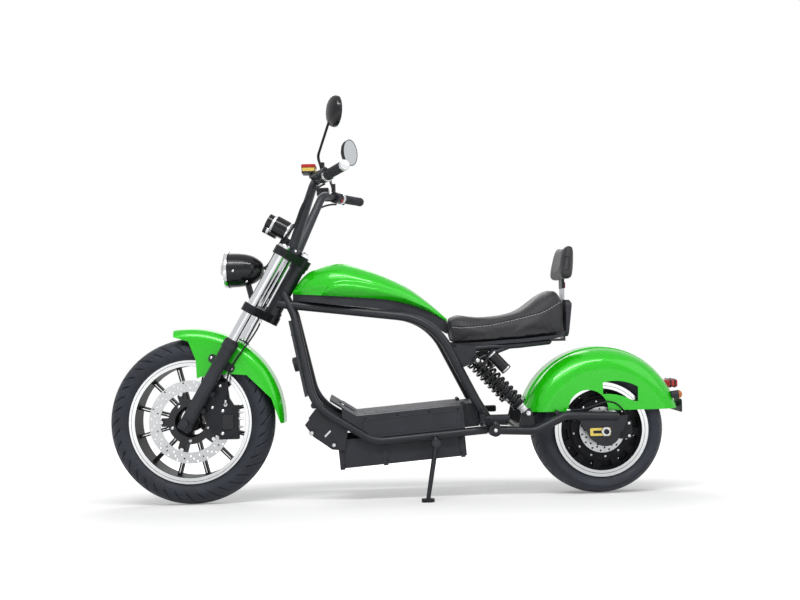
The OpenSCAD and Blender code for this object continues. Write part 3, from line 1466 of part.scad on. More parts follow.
// Front brake hose: hand-picked points along the fork, from the lower clamp to the caliper
hose_r = 3;
hose_route = [[-46, 62, 434.5], [-50, 62, 400], [-48, 70, 350], [-42, 78, 300], [-38, 79, 250],
  [-43, 80, 205], [-56, 82, 172], [-69, 84, 147], [-78, 84.5, 130], [-81.7, 81.5, 120], [-82.5, 76, 116],
  [-82.5, 70.4, 115.6]];
module front_hose() {
  color(black) steered() sweep([for (p = spline(hose_route, 3)) fork_pt(p.x, p.y, p.z)], hose_r, 8);
}

// Cables from the switch pods down the risers to the back of the headlamp, hand-picked points
cable_r = 3.5;
cable_route = [[214.8, 224.6, 1088.3], [240, 196, 1082], [270, 164, 1066], [303, 132, 1030],
  [332, 106, 970], [363.6, 86, 935.5], [387.6, 66, 916], [406.7, 50, 890], [426, 36, 858], [445, 27, 835],
  [462, 22, 829]];
module loom() {
  color(black) steered() both() sweep(spline(cable_route, 3), cable_r, 8);
}

// Rear brake hose: hand-picked points from the arm over to the caliper
rear_hose_route = [[-586, 147, 308.9], [-614, 147, 309.2], [-650, 147, 312], [-690, 146, 324],
  [-728, 144, 334], [-762, 140, 326], [-788, 130, 302], [-800, 118, 280], [-802, 113, 266]];
module rear_hose() {
  color(black) lean() sweep(spline(rear_hose_route, 3), hose_r, 8);
}

// Side stand
foot_t = 8;
foot_r = 22;
leg_r = 9;
leg_tip_r = 7.2;
stand_neck_r = 5.5;
function stand_dir() = [sin(stand_forward_deg), cos(stand_forward_deg) * sin(splay_deg),
  -cos(stand_forward_deg) * cos(splay_deg)];
stand_height = stand_z * cos(lean_deg) - stand_y * sin(lean_deg) + lean_lift;
stand_len = (stand_height - foot_t) / (stand_dir().y * sin(lean_deg) - stand_dir().z * cos(lean_deg));
module side_stand() {
  stand_at = [stand_x, stand_y, stand_z];
  foot = stand_at + stand_len * stand_dir();
  color(black) lean() difference() {
    union() {
      stand_frame() translate([0, 0, -stand_eye_t / 2]) cylinder(r = stand_eye_r, h = stand_eye_t);
      rod(stand_at + stand_dir() * stand_pin_r, stand_at + stand_dir() * 2 * stand_eye_r, stand_neck_r);
      bar(stand_at + stand_dir() * (stand_eye_r + overrun), foot, leg_r, leg_tip_r);
      translate(foot) rotate([lean_deg, 0, 0]) translate([0, 0, -foot_t]) cylinder(r = foot_r,
        h = foot_t + leg_r / 2);
    }
    stand_frame() translate([0, 0, -stand_eye_t]) cylinder(r = stand_pin_r + run_gap, h = 2 * stand_eye_t);
  }
}

// Passenger pegs, folded back
module peg() difference() {
  union() {
    translate([peg_x, peg_y, peg_z - peg_eye_h / 2]) cylinder(r = peg_eye_r, h = peg_eye_h);
    rod([peg_x - peg_eye_r / 2, peg_y, peg_z], [peg_x - peg_len, peg_y, peg_z], peg_eye_h / 2 - weld_gap);
    rod([peg_x - peg_eye_r * 1.6, peg_y, peg_z], [peg_x - peg_len, peg_y, peg_z], peg_r);
  }
  translate([peg_x, peg_y, peg_z - peg_eye_h]) cylinder(r = peg_pin_r + run_gap, h = 2 * peg_eye_h);
}
module peg_left() color(black) lean() peg();
module peg_right() color(black) lean() mirror([0, 1, 0]) peg();

head_tube();
upper_loops();
lower_cradles();
cross_members();
seat_frame();
neck_panel();
tank();
tank_trim();
seat_base();
seat_pad();
seat_shell();
backrest_stay();
backrest_pad();
battery_case();
battery();
deck_case();
deck_lid();
swingarm();
shocks();
shock_springs();
rear_fender();
tail_lamp();
rear_indicators();
plate_bracket();
rear_axle();
rear_caliper();
fork_clamps();
stanchions();
sliders();
front_fender();
front_axle();
front_caliper();
headlamp();
headlamp_lens();
handlebar();
grips();
controls();
mirrors();
mirror_glass();
gauge_pod();
front_hose();
loom();
rear_hose();
front_rim();
front_tyre();
front_disc();
rear_rim();
rear_tyre();
rear_disc();
side_stand();
peg_left();
peg_right();
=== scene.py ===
"""Dresses the electric chopper scooter: finishes for its solids, soft seat, treaded tyres and fittings."""
import json
import math

import bmesh
import bpy
import numpy as np
from bpy.props import FloatProperty, FloatVectorProperty, IntProperty, PointerProperty
from mathutils import Matrix, Vector
from mathutils.bvhtree import BVHTree


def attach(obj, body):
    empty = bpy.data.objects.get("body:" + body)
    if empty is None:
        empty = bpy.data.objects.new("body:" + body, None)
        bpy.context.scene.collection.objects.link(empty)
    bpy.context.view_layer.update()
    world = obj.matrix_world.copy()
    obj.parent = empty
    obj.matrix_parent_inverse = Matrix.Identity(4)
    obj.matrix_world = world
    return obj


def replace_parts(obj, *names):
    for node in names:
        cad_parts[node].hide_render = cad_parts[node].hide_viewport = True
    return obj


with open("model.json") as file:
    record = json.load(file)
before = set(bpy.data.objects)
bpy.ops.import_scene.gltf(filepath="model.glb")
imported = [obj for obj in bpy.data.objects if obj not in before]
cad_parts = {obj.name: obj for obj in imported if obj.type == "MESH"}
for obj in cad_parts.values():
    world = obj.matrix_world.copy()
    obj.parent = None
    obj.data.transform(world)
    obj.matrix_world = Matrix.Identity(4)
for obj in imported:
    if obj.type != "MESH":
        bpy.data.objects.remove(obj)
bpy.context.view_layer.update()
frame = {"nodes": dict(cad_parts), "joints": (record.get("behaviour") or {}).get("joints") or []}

bl_info = {
    "name": "Chopper Scooter Dresser",
    "version": (1, 0, 0),
    "blender": (4, 5, 0),
    "location": "View3D > Sidebar > Scooter",
    "description": "Gives a chopper scooter its finishes, soft seat, tyres and small fittings",
    "category": "Object",
}

MM = 0.001
JOINTS = {j["name"]: j for j in frame["joints"]}
NODES = frame["nodes"]

# Upright places of the axles and the deck's keel, millimetres, with the fork's rake and the rest steering angle
FRONT_AXLE = np.array([719.0, 0.0, 292.0])
REAR_AXLE = np.array([-719.0, 0.0, 233.5])
KEEL = np.array([81.0, 0.0, 216.0])
RAKE = math.radians(30.0)
DECK_PITCH = math.atan2(32.0, 417.0)
NOSE_RISE = math.atan2(130.0, 204.0) + DECK_PITCH
REST_STEER = math.radians(-4.0)
# Kink of the deck's lid in deck coordinates, foot of the left shock and how far the shock leans, side place of a leg
LID_KINK = (55.0, 0.0, 95.0)
SHOCK_FOOT = (-450.0, 147.0, 305.0)
SHOCK_TILT = -math.atan2(170.0, 184.0)
LEG_SIDE = 100.0
FORWARD, BACK, LEFT, RIGHT, UP, DOWN = (1, 0, 0), (-1, 0, 0), (0, 1, 0), (0, -1, 0), (0, 0, 1), (0, 0, -1)


# Frames

def rodrigues(axis, angle):
    """Turn matrix: cos times identity, plus sin times the cross matrix, plus the axis part."""
    x, y, z = axis
    cross = np.array([[0, -z, y], [z, 0, -x], [-y, x, 0]])
    return np.eye(3) + math.sin(angle) * cross + (1 - math.cos(angle)) * cross @ cross


def lean_turn():
    """Columns are where the upright axes go when the machine leans on its stand."""
    c, s = JOINTS["rear_wheel_spin"]["axis"][1:]
    return np.array([[1, 0, 0], [0, c, -s], [0, s, c]])


LEAN = lean_turn()
LEAN_SHIFT = np.array(JOINTS["rear_wheel_spin"]["pos_m"]) - LEAN @ REAR_AXLE * MM
STEER_AXIS = np.array(JOINTS["steering"]["axis"])
STEER_POINT = np.array(JOINTS["steering"]["pos_m"])
STEER = rodrigues(STEER_AXIS / np.linalg.norm(STEER_AXIS), REST_STEER)


def leaned(points):
    """Row-frame metres of points given upright in millimetres."""
    return np.asarray(points, float) * MM @ LEAN.T + LEAN_SHIFT


def steered(points):
    """As leaned, and then turned with the fork to its rest angle."""
    return (leaned(points) - STEER_POINT) @ STEER.T + STEER_POINT


def pitched(points, origin, angle):
    """Points of a frame turned in the side plane: forward rises with the angle, up leans back by it."""
    p, c, s = np.asarray(points, float), math.cos(angle), math.sin(angle)
    return np.stack([origin[0] + p[..., 0] * c - p[..., 2] * s, origin[1] + p[..., 1],
                     origin[2] + p[..., 0] * s + p[..., 2] * c], -1)


def fork(points):
    """Row-frame place of fork coordinates: forward, left, and up along the raked legs from the axle."""
    return steered(pitched(points, FRONT_AXLE, RAKE))


def deck(points):
    """Row-frame place of deck coordinates: forward along the rails, left, and up from them."""
    return leaned(pitched(points, KEEL, -DECK_PITCH))


def lid_nose(points):
    """Row-frame place of coordinates along the lid's rising nose, from its kink."""
    return deck(pitched(points, LID_KINK, NOSE_RISE))


def shock(side):
    """A place function for one side's shock coordinates: up from the foot's eye to the top's."""
    return lambda points: leaned(sided(pitched(points, SHOCK_FOOT, SHOCK_TILT), side))


def sided(points, side):
    """Points on the left for side 1, mirrored to the right for side -1."""
    return np.asarray(points, float) * (1, side, 1)


FRONT_TURN = STEER @ LEAN
FRONT_CENTRE = steered(FRONT_AXLE)
REAR_CENTRE = leaned(REAR_AXLE)


def wheel_frame(axle):
    """Centre and frame of a wheel, its third axis along the axle to the left."""
    turn = FRONT_TURN if axle == "front" else LEAN
    centre = FRONT_CENTRE if axle == "front" else REAR_CENTRE
    return centre, turn @ np.array([[1, 0, 0], [0, 0, 1], [0, -1, 0]], float)


def hub(axle):
    """A place function for wheel coordinates: forward, down and left from the axle's middle."""
    centre, turn = wheel_frame(axle)
    return lambda points: np.asarray(points, float) * MM @ turn.T + centre


# Surfaces from arrays

def grid_faces(rows, cols, wrap_rows=False, wrap_cols=True):
    """Quads of a rows by cols grid: each joins a point, its neighbour along, and the two across."""
    i = np.arange(rows if wrap_rows else rows - 1)[:, None]
    j = np.arange(cols if wrap_cols else cols - 1)[None, :]
    along, across = (j + 1) % cols, (i + 1) % rows
    quads = np.stack([i * cols + j, i * cols + along, across * cols + along, across * cols + j], -1)
    return quads.reshape(-1, 4)


def grid(points, wrap_rows=False, wrap_cols=True):
    """Vertices and faces of a grid of points shaped (rows, cols, 3)."""
    rows, cols = points.shape[:2]
    return points.reshape(-1, 3), grid_faces(rows, cols, wrap_rows, wrap_cols)


def joined(parts):
    """One vertex and one face array from several, with the indices moved on."""
    verts, faces = zip(*parts)
    begins = np.cumsum([0] + [len(v) for v in verts[:-1]])
    return np.concatenate(verts), np.concatenate([f + n for f, n in zip(faces, begins)])


def both_sides(make):
    """The left and the right copy of a surface, made by a function of the side."""
    return joined([make(1), make(-1)])


def capped(rings):
    """Rings with a row at each end that is drawn to the ring's middle, so that the ends close."""
    low, high = (np.broadcast_to(ring.mean(0), ring.shape) for ring in (rings[0], rings[-1]))
    return np.concatenate([low[None], rings, high[None]])


def axes_from(axis):
    """A right-handed frame whose third column is the axis."""
    z = np.asarray(axis, float) / np.linalg.norm(axis)
    x = np.cross(z, UP if abs(z[2]) < 0.9 else FORWARD)
    x = x / np.linalg.norm(x)
    return np.stack([x, np.cross(z, x), z], 1)


def circle(steps):
    """Even angles once round, the first not repeated."""
    return np.linspace(0, 2 * math.pi, steps, endpoint=False)


def turned(profile, steps, turn, centre):
    """Surface of revolution: radius times cosine and sine about the third axis, height along it."""
    profile = np.asarray(profile, float)
    angle = circle(steps)
    radius, height = profile[:, :1], profile[:, 1:]
    local = np.stack([radius * np.cos(angle), radius * np.sin(angle), height + 0 * angle], -1)
    return grid(local @ np.asarray(turn).T + np.asarray(centre))


def spun(profile, steps, place, point, axis):
    """A profile of radius and height, millimetres, spun about an axis through a point of the given frame."""
    centre = place(point)
    turn = axes_from(place(np.add(point, axis)) - centre)
    return turned(np.asarray(profile, float) * MM, steps, turn, centre)


def spun_pair(profile, steps, place, point, axis):
    """A profile spun about an axis through a point on the left, and its copy on the right."""
    return both_sides(lambda side: spun(profile, steps, place, sided(point, side), sided(axis, side)))


def tube(path, radius, sides=10):
    """Circle carried along a path, square to it; the side vector is square to the path's flattest direction."""
    path = np.asarray(path, float)
    radius = np.broadcast_to(np.asarray(radius, float), len(path))
    along = np.gradient(path, axis=0)
    along /= np.linalg.norm(along, axis=1, keepdims=True)
    side = np.cross(along, np.linalg.svd(along, full_matrices=False)[2][-1])
    side /= np.linalg.norm(side, axis=1, keepdims=True)
    up = np.cross(side, along)
    angle = circle(sides)
    ring = np.cos(angle)[None, :, None] * side[:, None] + np.sin(angle)[None, :, None] * up[:, None]
    return grid(capped(path[:, None] + radius[:, None, None] * ring))


def hoop(path, radius, sides=8):
    """Circle carried round a closed flat path, its side vector in the path's plane."""
    path = np.asarray(path, float)
    along = np.roll(path, -1, 0) - np.roll(path, 1, 0)
    along /= np.linalg.norm(along, axis=1, keepdims=True)
    flat = np.linalg.svd(path - path.mean(0), full_matrices=False)[2][-1]
    side = np.cross(along, flat)
    side /= np.linalg.norm(side, axis=1, keepdims=True)
    angle = circle(sides)
    ring = np.cos(angle)[None, :, None] * side[:, None] + np.sin(angle)[None, :, None] * flat
    return grid(path[:, None] + radius * ring, wrap_rows=True)


def ring_round(axis, steps=40):
    """Unit circle about an axis: cosine and sine along the two vectors square to it."""
    angle = circle(steps)[:, None]
    x, y = axes_from(axis).T[:2]
    return np.cos(angle) * x + np.sin(angle) * y


def rounded(half_x, half_y, corner, per=6):
    """Outline of a rectangle whose corners are quarter circles."""
    angle = np.linspace(0, math.pi / 2, per) + np.arange(4)[:, None] * math.pi / 2
    centre = np.array([(1, 1), (-1, 1), (-1, -1), (1, -1)]) * (half_x - corner, half_y - corner)
    arc = corner * np.stack([np.cos(angle), np.sin(angle)], -1)
    return (centre[:, None] + arc).reshape(-1, 2)


def upright(outline, x, y, z):
    """An outline set up in the side plane about a place: its first way forward, its second up."""
    return np.stack([x + outline[:, 0], np.full(len(outline), y), z + outline[:, 1]], 1)


def level(outline, x, y, z):
    """An outline laid level about a place: its first way forward, its second to the left."""
    return np.stack([x + outline[:, 0], y + outline[:, 1], np.full(len(outline), z)], 1)


def slab(outline, low, high, ease, lay):
    """Plate from an outline: rings at its faces and edges, the face rings drawn in to ease the edges.

    lay puts outline points and a height into three places.
    """
    outline = np.asarray(outline, float)
    middle = outline.mean(0)
    inner = middle + (outline - middle) * (1 - ease / np.linalg.norm(outline - middle, axis=1, keepdims=True))
    levels = [(inner, low), (outline, low + ease), (outline, high - ease), (inner, high)]
    return grid(capped(np.stack([lay(ring, height) for ring, height in levels])))


def side_plate(outline, low, high, ease, place, x, z, side=1):
    """Slab whose faces look sideways, about a forward and an up place, between two side places."""
    return slab(outline, low, high, ease, lambda ring, y: place(upright(ring, x, side * y, z)))


def level_plate(outline, low, high, ease, place, x, y=0.0, side=1):
    """Slab whose faces look up and down, about a forward and a side place, between two heights."""
    return slab(outline, low, high, ease, lambda ring, z: place(sided(level(ring, x, y, z), side)))


def curve_through(points, per_span=8):
    """Catmull-Rom curve: each span is a cubic in t fixed by its four nearest points, the end points doubled."""
    p = np.asarray(points, float)
    p = np.concatenate([p[:1], p, p[-1:]])
    t = np.arange(per_span)[:, None, None] / per_span
    a, b, c, d = p[:-3], p[1:-2], p[2:-1], p[3:]
    q = 0.5 * (2 * b + (c - a) * t + (2 * a - 5 * b + 4 * c - d) * t**2 + (3 * b - a - 3 * c + d) * t**3)
    return np.concatenate([q.transpose(1, 0, 2).reshape(-1, p.shape[1]), p[-2:-1]])


# Angle past which an edge stays sharp, in degrees
MACHINED, MOULDED, POLISHED = 30.0, 40.0, 50.0


def piece(name, surface, finish, body, crease=MOULDED):
    """Makes the mesh object, merges its seams and poles, points its faces outwards and seats it on its body.
    """
    verts, faces = surface
    mesh = bpy.data.meshes.new(name)
    mesh.from_pydata(verts.tolist(), [], faces.tolist())
    work = bmesh.new()
    work.from_mesh(mesh)
    bmesh.ops.remove_doubles(work, verts=work.verts, dist=2e-6)
    bmesh.ops.recalc_face_normals(work, faces=work.faces)
    work.to_mesh(mesh)
    work.free()
    mesh.shade_smooth()
    mesh.set_sharp_from_angle(angle=math.radians(crease))
    obj = bpy.data.objects.new(name, mesh)
    bpy.context.scene.collection.objects.link(obj)
    mesh.materials.append(FINISHES[finish])
    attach(obj, body)
    return obj


# Seats for fittings

TREES = {}


def mesh_points(mesh, key):
    """A mesh's vertex places or normals as one array."""
    values = np.empty(len(mesh.vertices) * 3, np.float32)
    mesh.vertices.foreach_get(key, values)
    return values.reshape(-1, 3)


def tree_of(obj):
    """Search tree of an object's mesh."""
    if obj.name not in TREES:
        faces = [face.vertices[:] for face in obj.data.polygons]
        TREES[obj.name] = BVHTree.FromPolygons(mesh_points(obj.data, "co").tolist(), faces)
    return TREES[obj.name]


def seat_on(obj, start, aim, place):
    """Where a line from start along aim meets an object, with the way back along the line."""
    origin = place(start)
    way = place(np.add(start, aim)) - origin
    way /= np.linalg.norm(way)
    hit = tree_of(obj).ray_cast(Vector(origin), Vector(way))[0]
    if hit is None:
        raise RuntimeError(f"{obj.name} has nothing to sit on at {start}")
    return np.array(hit), -way


def on_skin(obj, starts, aim, place):
    """The places where parallel lines meet an object, as one array."""
    return np.array([seat_on(obj, start, aim, place)[0] for start in starts])


def sideways(points, reach=220.0):
    """Lines from each side towards the middle, at forward and up places."""
    return [((x, side * reach, z), (0, -side, 0)) for x, z in points for side in (1, -1)]


def ring_lines(count, radius, height, start):
    """Lines along the axle at even angles, from a height towards the middle."""
    angle = np.radians(start + np.arange(count) * 360.0 / count)
    return [((radius * math.cos(a), radius * math.sin(a), height), (0, 0, -np.sign(height))) for a in angle]


def plate_on(under, line, place, outline, high, across=LEFT, up=UP, low=-1.0):
    """Rounded plate on what lies under a line, its outline along two ways, from one height to another."""
    spot, out = seat_on(under, *line, place)
    ways = np.stack([place(way) - place((0, 0, 0)) for way in (across, up)])
    return slab(outline, low, high, 0.6, lambda ring, h: spot + ring @ ways + out * h * MM)


# Half profiles of fasteners, radius and height as shares of the radius
CAP_HEAD = np.array([(0, -0.4), (1, -0.4), (1, 0.7), (0.86, 1), (0.55, 1), (0.5, 0.55), (0, 0.55)])
BUTTON_HEAD = np.array([(0, -0.3), (1, -0.3), (1, 0.05), (0.85, 0.32), (0.5, 0.5), (0.42, 0.25), (0, 0.25)])
FLAT_HEAD = np.array([(0, -0.3), (1, -0.3), (1, 0.1), (0.86, 0.22), (0.4, 0.22), (0.34, 0.1), (0, 0.1)])
HEX_NUT = np.array([(0, -0.3), (1, -0.3), (1, 0.6), (0.88, 0.72), (0.6, 0.72), (0.55, 1.0), (0, 1.06)])


def fasteners(name, under, lines, place, radius, body, finish="bright_steel", shape=BUTTON_HEAD, steps=12):
    """Screw heads or nuts: a profile, scaled by the radius, spun about each line where it meets what is under.

    A line is its start and its aim.
    """
    under = NODES[under] if isinstance(under, str) else under
    spots = [seat_on(under, start, aim, place) for start, aim in lines]
    surface = joined([turned(shape * radius * MM, steps, axes_from(axis), centre) for centre, axis in spots])
    return piece(name, surface, finish, body, MACHINED)


# Finishes

FINISHES = {}


class Finish:
    """A Principled finish being put together, with short ways to add its nodes."""

    def __init__(self, name, colour, roughness, metallic=0.0):
        """A new material with its plain values."""
        self.material = bpy.data.materials.new(name)
        self.material.use_nodes = True
        self.tree = self.material.node_tree
        self.shader = self.tree.nodes["Principled BSDF"]
        self.coords = self.tree.nodes.new("ShaderNodeTexCoord").outputs["Object"]
        self.set("Base Color", (*colour, 1))
        self.set("Roughness", roughness)
        self.set("Metallic", metallic)
        FINISHES[name] = self.material

    def set(self, socket, value):
        """A plain value on one of the shader's sockets."""
        self.shader.inputs[socket].default_value = value

    def node(self, kind, settings=None, **inputs):
        """A new node; an input is given by its name, or as i and its number, and is a value or a socket."""
        made = self.tree.nodes.new(kind)
        for key, value in (settings or {}).items():
            setattr(made, key, value)
        for key, value in inputs.items():
            socket = made.inputs[int(key[1:])] if key[0] == "i" and key[1:].isdigit() else made.inputs[key]
            if isinstance(value, bpy.types.NodeSocket):
                self.tree.links.new(value, socket)
            else:
                socket.default_value = value
        return made

    def link(self, source, socket):
        """Joins a node's output to one of the shader's sockets."""
        self.tree.links.new(source, self.shader.inputs[socket])

    def math(self, operation, a, b=0.0, c=0.0):
        """The result of a sum on values or sockets."""
        return self.node("ShaderNodeMath", {"operation": operation}, i0=a, i1=b, i2=c).outputs[0]

    def vector(self, operation, **inputs):
        """A vector node, for its outputs."""
        return self.node("ShaderNodeVectorMath", {"operation": operation}, **inputs).outputs

    def noise(self, scale, detail=3.0, vector=None, rough=0.5):
        """Cloudy noise from zero to one."""
        return self.node("ShaderNodeTexNoise", None, Vector=vector or self.coords, Scale=scale, Detail=detail,
                         Roughness=rough).outputs["Fac"]

    def wave(self, direction, scale):
        """Even bands across a direction."""
        return self.node("ShaderNodeTexWave", {"bands_direction": direction}, Vector=self.coords,
                         Scale=scale).outputs["Fac"]

    def ramp(self, value, stops):
        """Colours blended between stops of place and colour."""
        made = self.node("ShaderNodeValToRGB", None, Fac=value)
        stop = made.color_ramp.elements
        stop[0].position, stop[0].color = stops[0][0], (*stops[0][1], 1)
        stop[1].position, stop[1].color = stops[-1][0], (*stops[-1][1], 1)
        for place, colour in stops[1:-1]:
            stop.new(place).color = (*colour, 1)
        return made.outputs["Color"]

    def spread(self, value, low, high, out_low, out_high):
        """A value carried from one span to another, and held at its ends."""
        return self.node("ShaderNodeMapRange", None, Value=value, i1=low, i2=high, i3=out_low,
                         i4=out_high).outputs[0]

    def mixed(self, factor, first, second):
        """The first colour where the factor is zero and the second where it is one."""
        return self.node("ShaderNodeMix", {"data_type": "RGBA"}, Factor=factor, i6=first, i7=second).outputs[2]

    def bump(self, height, distance, strength=1.0):
        """Fine relief from a height."""
        made = self.node("ShaderNodeBump", None, Height=height, Distance=distance, Strength=strength)
        self.link(made.outputs["Normal"], "Normal")

    def about(self, centre, turn):
        """Coordinates seen from a turned frame, such as a wheel's, through a Mapping node."""
        spin = Matrix(np.asarray(turn).tolist()).to_euler()
        return self.node("ShaderNodeMapping", {"vector_type": "TEXTURE"}, Vector=self.coords,
                         Location=tuple(centre), Rotation=tuple(spin)).outputs[0]


def tint(colour, share):
    """A colour times a share, held at one."""
    return tuple(min(1.0, c * share) for c in colour)


def plain_finish(name, colour, roughness, metallic=0.0, grain=700.0, depth=0.00012, vary=0.2):
    """Moulded or coated surface: soft cloudy tint, uneven gloss and a fine grain."""
    made = Finish(name, colour, roughness, metallic)
    made.set("Specular IOR Level", 0.3)
    cloud = made.noise(14.0, 4.0)
    made.link(made.ramp(cloud, [(0.3, tint(colour, 1 - vary)), (0.7, tint(colour, 1 + vary))]), "Base Color")
    dull = min(1.0, roughness * 1.2)
    made.link(made.spread(made.noise(60.0, 3.0), 0.25, 0.75, roughness * 0.85, dull), "Roughness")
    made.bump(made.noise(grain, 2.0), depth)


def around_axle(made, axle):
    """Distance from the axle line, place along it and the turned coordinates, as sockets."""
    centre, turn = wheel_frame(axle)
    seen = made.about(centre, turn)
    radius = made.vector("LENGTH", i0=made.vector("MULTIPLY", i0=seen, i1=(1, 1, 0))[0])["Value"]
    axes = made.node("ShaderNodeSeparateXYZ", None, Vector=seen).outputs
    return radius, made.math("ABSOLUTE", axes["Z"]), axes


def turning_marks(made, radius, pitch):
    """Noise that changes only with the distance from the axle, as a lathe leaves it."""
    line = made.node("ShaderNodeCombineXYZ", None, X=made.math("MULTIPLY", radius, pitch)).outputs[0]
    return made.noise(1.0, 3.0, line)


def within(made, value, low, high):
    """One where a value lies between two limits, else zero."""
    return made.math("MULTIPLY", made.math("GREATER_THAN", value, low), made.math("LESS_THAN", value, high))


# Half width of the bright line along a spoke, and the distances from the axle between which it runs
GROOVE_HALF, GROOVE_FROM, GROOVE_TO = 0.0017, 0.072, 0.189


def rim_finish(name, axle, lip, height_from, paint, spokes=0):
    """Black coated wheel whose outer lip is machined bright, with a dark line in it, and bright spoke grooves.

    lip gives the radii where the lip begins, where its dark line begins and ends, and where the lip ends.
    """
    made = Finish(name, paint, 0.4, 0.4)
    made.set("Specular IOR Level", 0.15)
    radius, height, axes = around_axle(made, axle)
    outer = made.math("GREATER_THAN", height, height_from)
    bright = made.math("MULTIPLY", within(made, radius, lip[0], lip[3]), outer)
    bright = made.math("SUBTRACT", bright, within(made, radius, lip[1], lip[2]))
    if spokes:
        sector = 2 * math.pi / spokes
        angle = made.math("ADD", made.math("ARCTAN2", axes["Y"], axes["X"]), 2 * math.pi)
        away = made.math("ABSOLUTE", made.math("SUBTRACT", made.math("MODULO", angle, sector), sector / 2))
        near = made.math("LESS_THAN", made.math("MULTIPLY", radius, away), GROOVE_HALF)
        line = made.math("MULTIPLY", near, within(made, radius, GROOVE_FROM, GROOVE_TO))
        bright = made.math("MAXIMUM", bright, line)
    bright = made.math("MAXIMUM", bright, 0.0)
    lathe = turning_marks(made, radius, 2500.0)
    marks = made.ramp(lathe, [(0.3, (0.58, 0.59, 0.60)), (0.7, (0.76, 0.77, 0.78))])
    cloud = made.ramp(made.noise(30.0), [(0.3, tint(paint, 0.8)), (0.7, tint(paint, 1.25))])
    made.link(made.mixed(bright, cloud, marks), "Base Color")
    made.link(made.spread(bright, 0.0, 1.0, 0.5, 0.2), "Roughness")
    made.link(bright, "Metallic")
    made.bump(made.noise(600.0), 0.00006)


def disc_finish(name, axle, carrier_radius, paint):
    """Ground steel ring with fine rings about the axle, on a black carrier."""
    made = Finish(name, (0.5, 0.5, 0.5), 0.3, 1.0)
    radius = around_axle(made, axle)[0]
    rings = turning_marks(made, radius, 1800.0)
    steel = made.ramp(rings, [(0.25, (0.40, 0.41, 0.42)), (0.75, (0.62, 0.63, 0.64))])
    ring = made.math("GREATER_THAN", radius, carrier_radius)
    cloud = made.ramp(made.noise(40.0), [(0.3, tint(paint, 0.8)), (0.7, tint(paint, 1.2))])
    made.link(made.mixed(ring, cloud, steel), "Base Color")
    made.link(made.spread(ring, 0.0, 1.0, 0.25, 1.0), "Metallic")
    made.link(made.spread(rings, 0.2, 0.8, 0.26, 0.42), "Roughness")
    made.bump(rings, 0.00004)


def paint_finish(green):
    """Clear-coated paint: fine flakes vary its colour and gloss, and the coat is faintly wavy."""
    paint = Finish("candy_green", green, 0.26, 0.1)
    flake = paint.node("ShaderNodeTexVoronoi", None, Vector=paint.coords, Scale=1400.0).outputs["Color"]
    sparkle = paint.node("ShaderNodeSeparateXYZ", None, Vector=flake).outputs["X"]
    shades = [(0.0, tint(green, 0.8)), (0.6, green), (1.0, tint(green, 1.3))]
    paint.link(paint.ramp(sparkle, shades), "Base Color")
    paint.link(paint.spread(sparkle, 0.0, 1.0, 0.2, 0.34), "Roughness")
    paint.set("Specular IOR Level", 0.2)
    paint.set("Coat Weight", 0.6)
    paint.set("Coat Roughness", 0.03)
    paint.bump(paint.noise(180.0, 1.0), 0.00003)


def glass_finishes():
    """Ribbed red lens, fluted clear lamp glass and the mirrors' silvered glass."""
    red = Finish("red_lens", (0.5, 0.012, 0.01), 0.14)
    red.link(red.ramp(red.noise(25.0), [(0.3, (0.4, 0.01, 0.008)), (0.7, (0.6, 0.02, 0.014))]), "Base Color")
    red.set("Transmission Weight", 0.25)
    red.bump(red.wave("Z", 120.0), 0.0004, 0.6)
    glass = Finish("clear_glass", (1, 1, 1), 0.02)
    glass.set("Transmission Weight", 1.0)
    glass.set("IOR", 1.45)
    glass.bump(glass.wave("Y", 28.0), 0.0005, 0.4)
    silver = Finish("silvered_glass", (0.86, 0.88, 0.89), 0.03, 1.0)
    haze = [(0.3, (0.50, 0.53, 0.55)), (0.7, (0.58, 0.60, 0.62))]
    silver.link(silver.ramp(silver.noise(6.0), haze), "Base Color")


def stay_finish(dark):
    """Brushed steel above the seat; below it a painted shade, dark and dull where the seat shell shades the stay."""
    stay = Finish("stay_steel_painted_shade_below", (0.6, 0.6, 0.6), 0.28)
    height = stay.node("ShaderNodeSeparateXYZ", None, Vector=stay.coords).outputs["Z"]
    # Painted shade: below this height the stay is coloured dark and not metallic, standing in for the shade under
    # the seat shell
    above = stay.math("GREATER_THAN", height, 0.6)
    brushed = stay.ramp(stay.noise(300.0), [(0.3, (0.30, 0.31, 0.32)), (0.7, (0.42, 0.43, 0.44))])
    stay.link(stay.mixed(above, (*tint(dark, 0.6), 1), brushed), "Base Color")
    stay.link(above, "Metallic")


def seat_finishes(hide):
    """Leather with creases between pebbles, pores and paler wear, and the twisted thread that sews it."""
    leather = Finish("seat_leather", hide, 0.52)
    cells = leather.node("ShaderNodeTexVoronoi", {"feature": "DISTANCE_TO_EDGE"}, Vector=leather.coords,
                         Scale=420.0).outputs["Distance"]
    creases = leather.math("MULTIPLY", leather.math("MINIMUM", cells, 0.25), 3.0)
    wear = leather.noise(9.0, 4.0)
    leather.link(leather.ramp(wear, [(0.3, tint(hide, 0.8)), (0.75, tint(hide, 1.35))]), "Base Color")
    leather.link(leather.spread(wear, 0.3, 0.7, 0.45, 0.6), "Roughness")
    leather.bump(leather.math("ADD", creases, leather.noise(900.0)), 0.00025, 0.8)
    leather.set("Sheen Weight", 0.05)
    leather.set("Specular IOR Level", 0.35)
    thread = Finish("pale_thread", (0.55, 0.55, 0.56), 0.7)
    twist = thread.wave("DIAGONAL", 900.0)
    thread.link(thread.ramp(twist, [(0.0, (0.26, 0.26, 0.27)), (1.0, (0.44, 0.44, 0.45))]), "Base Color")


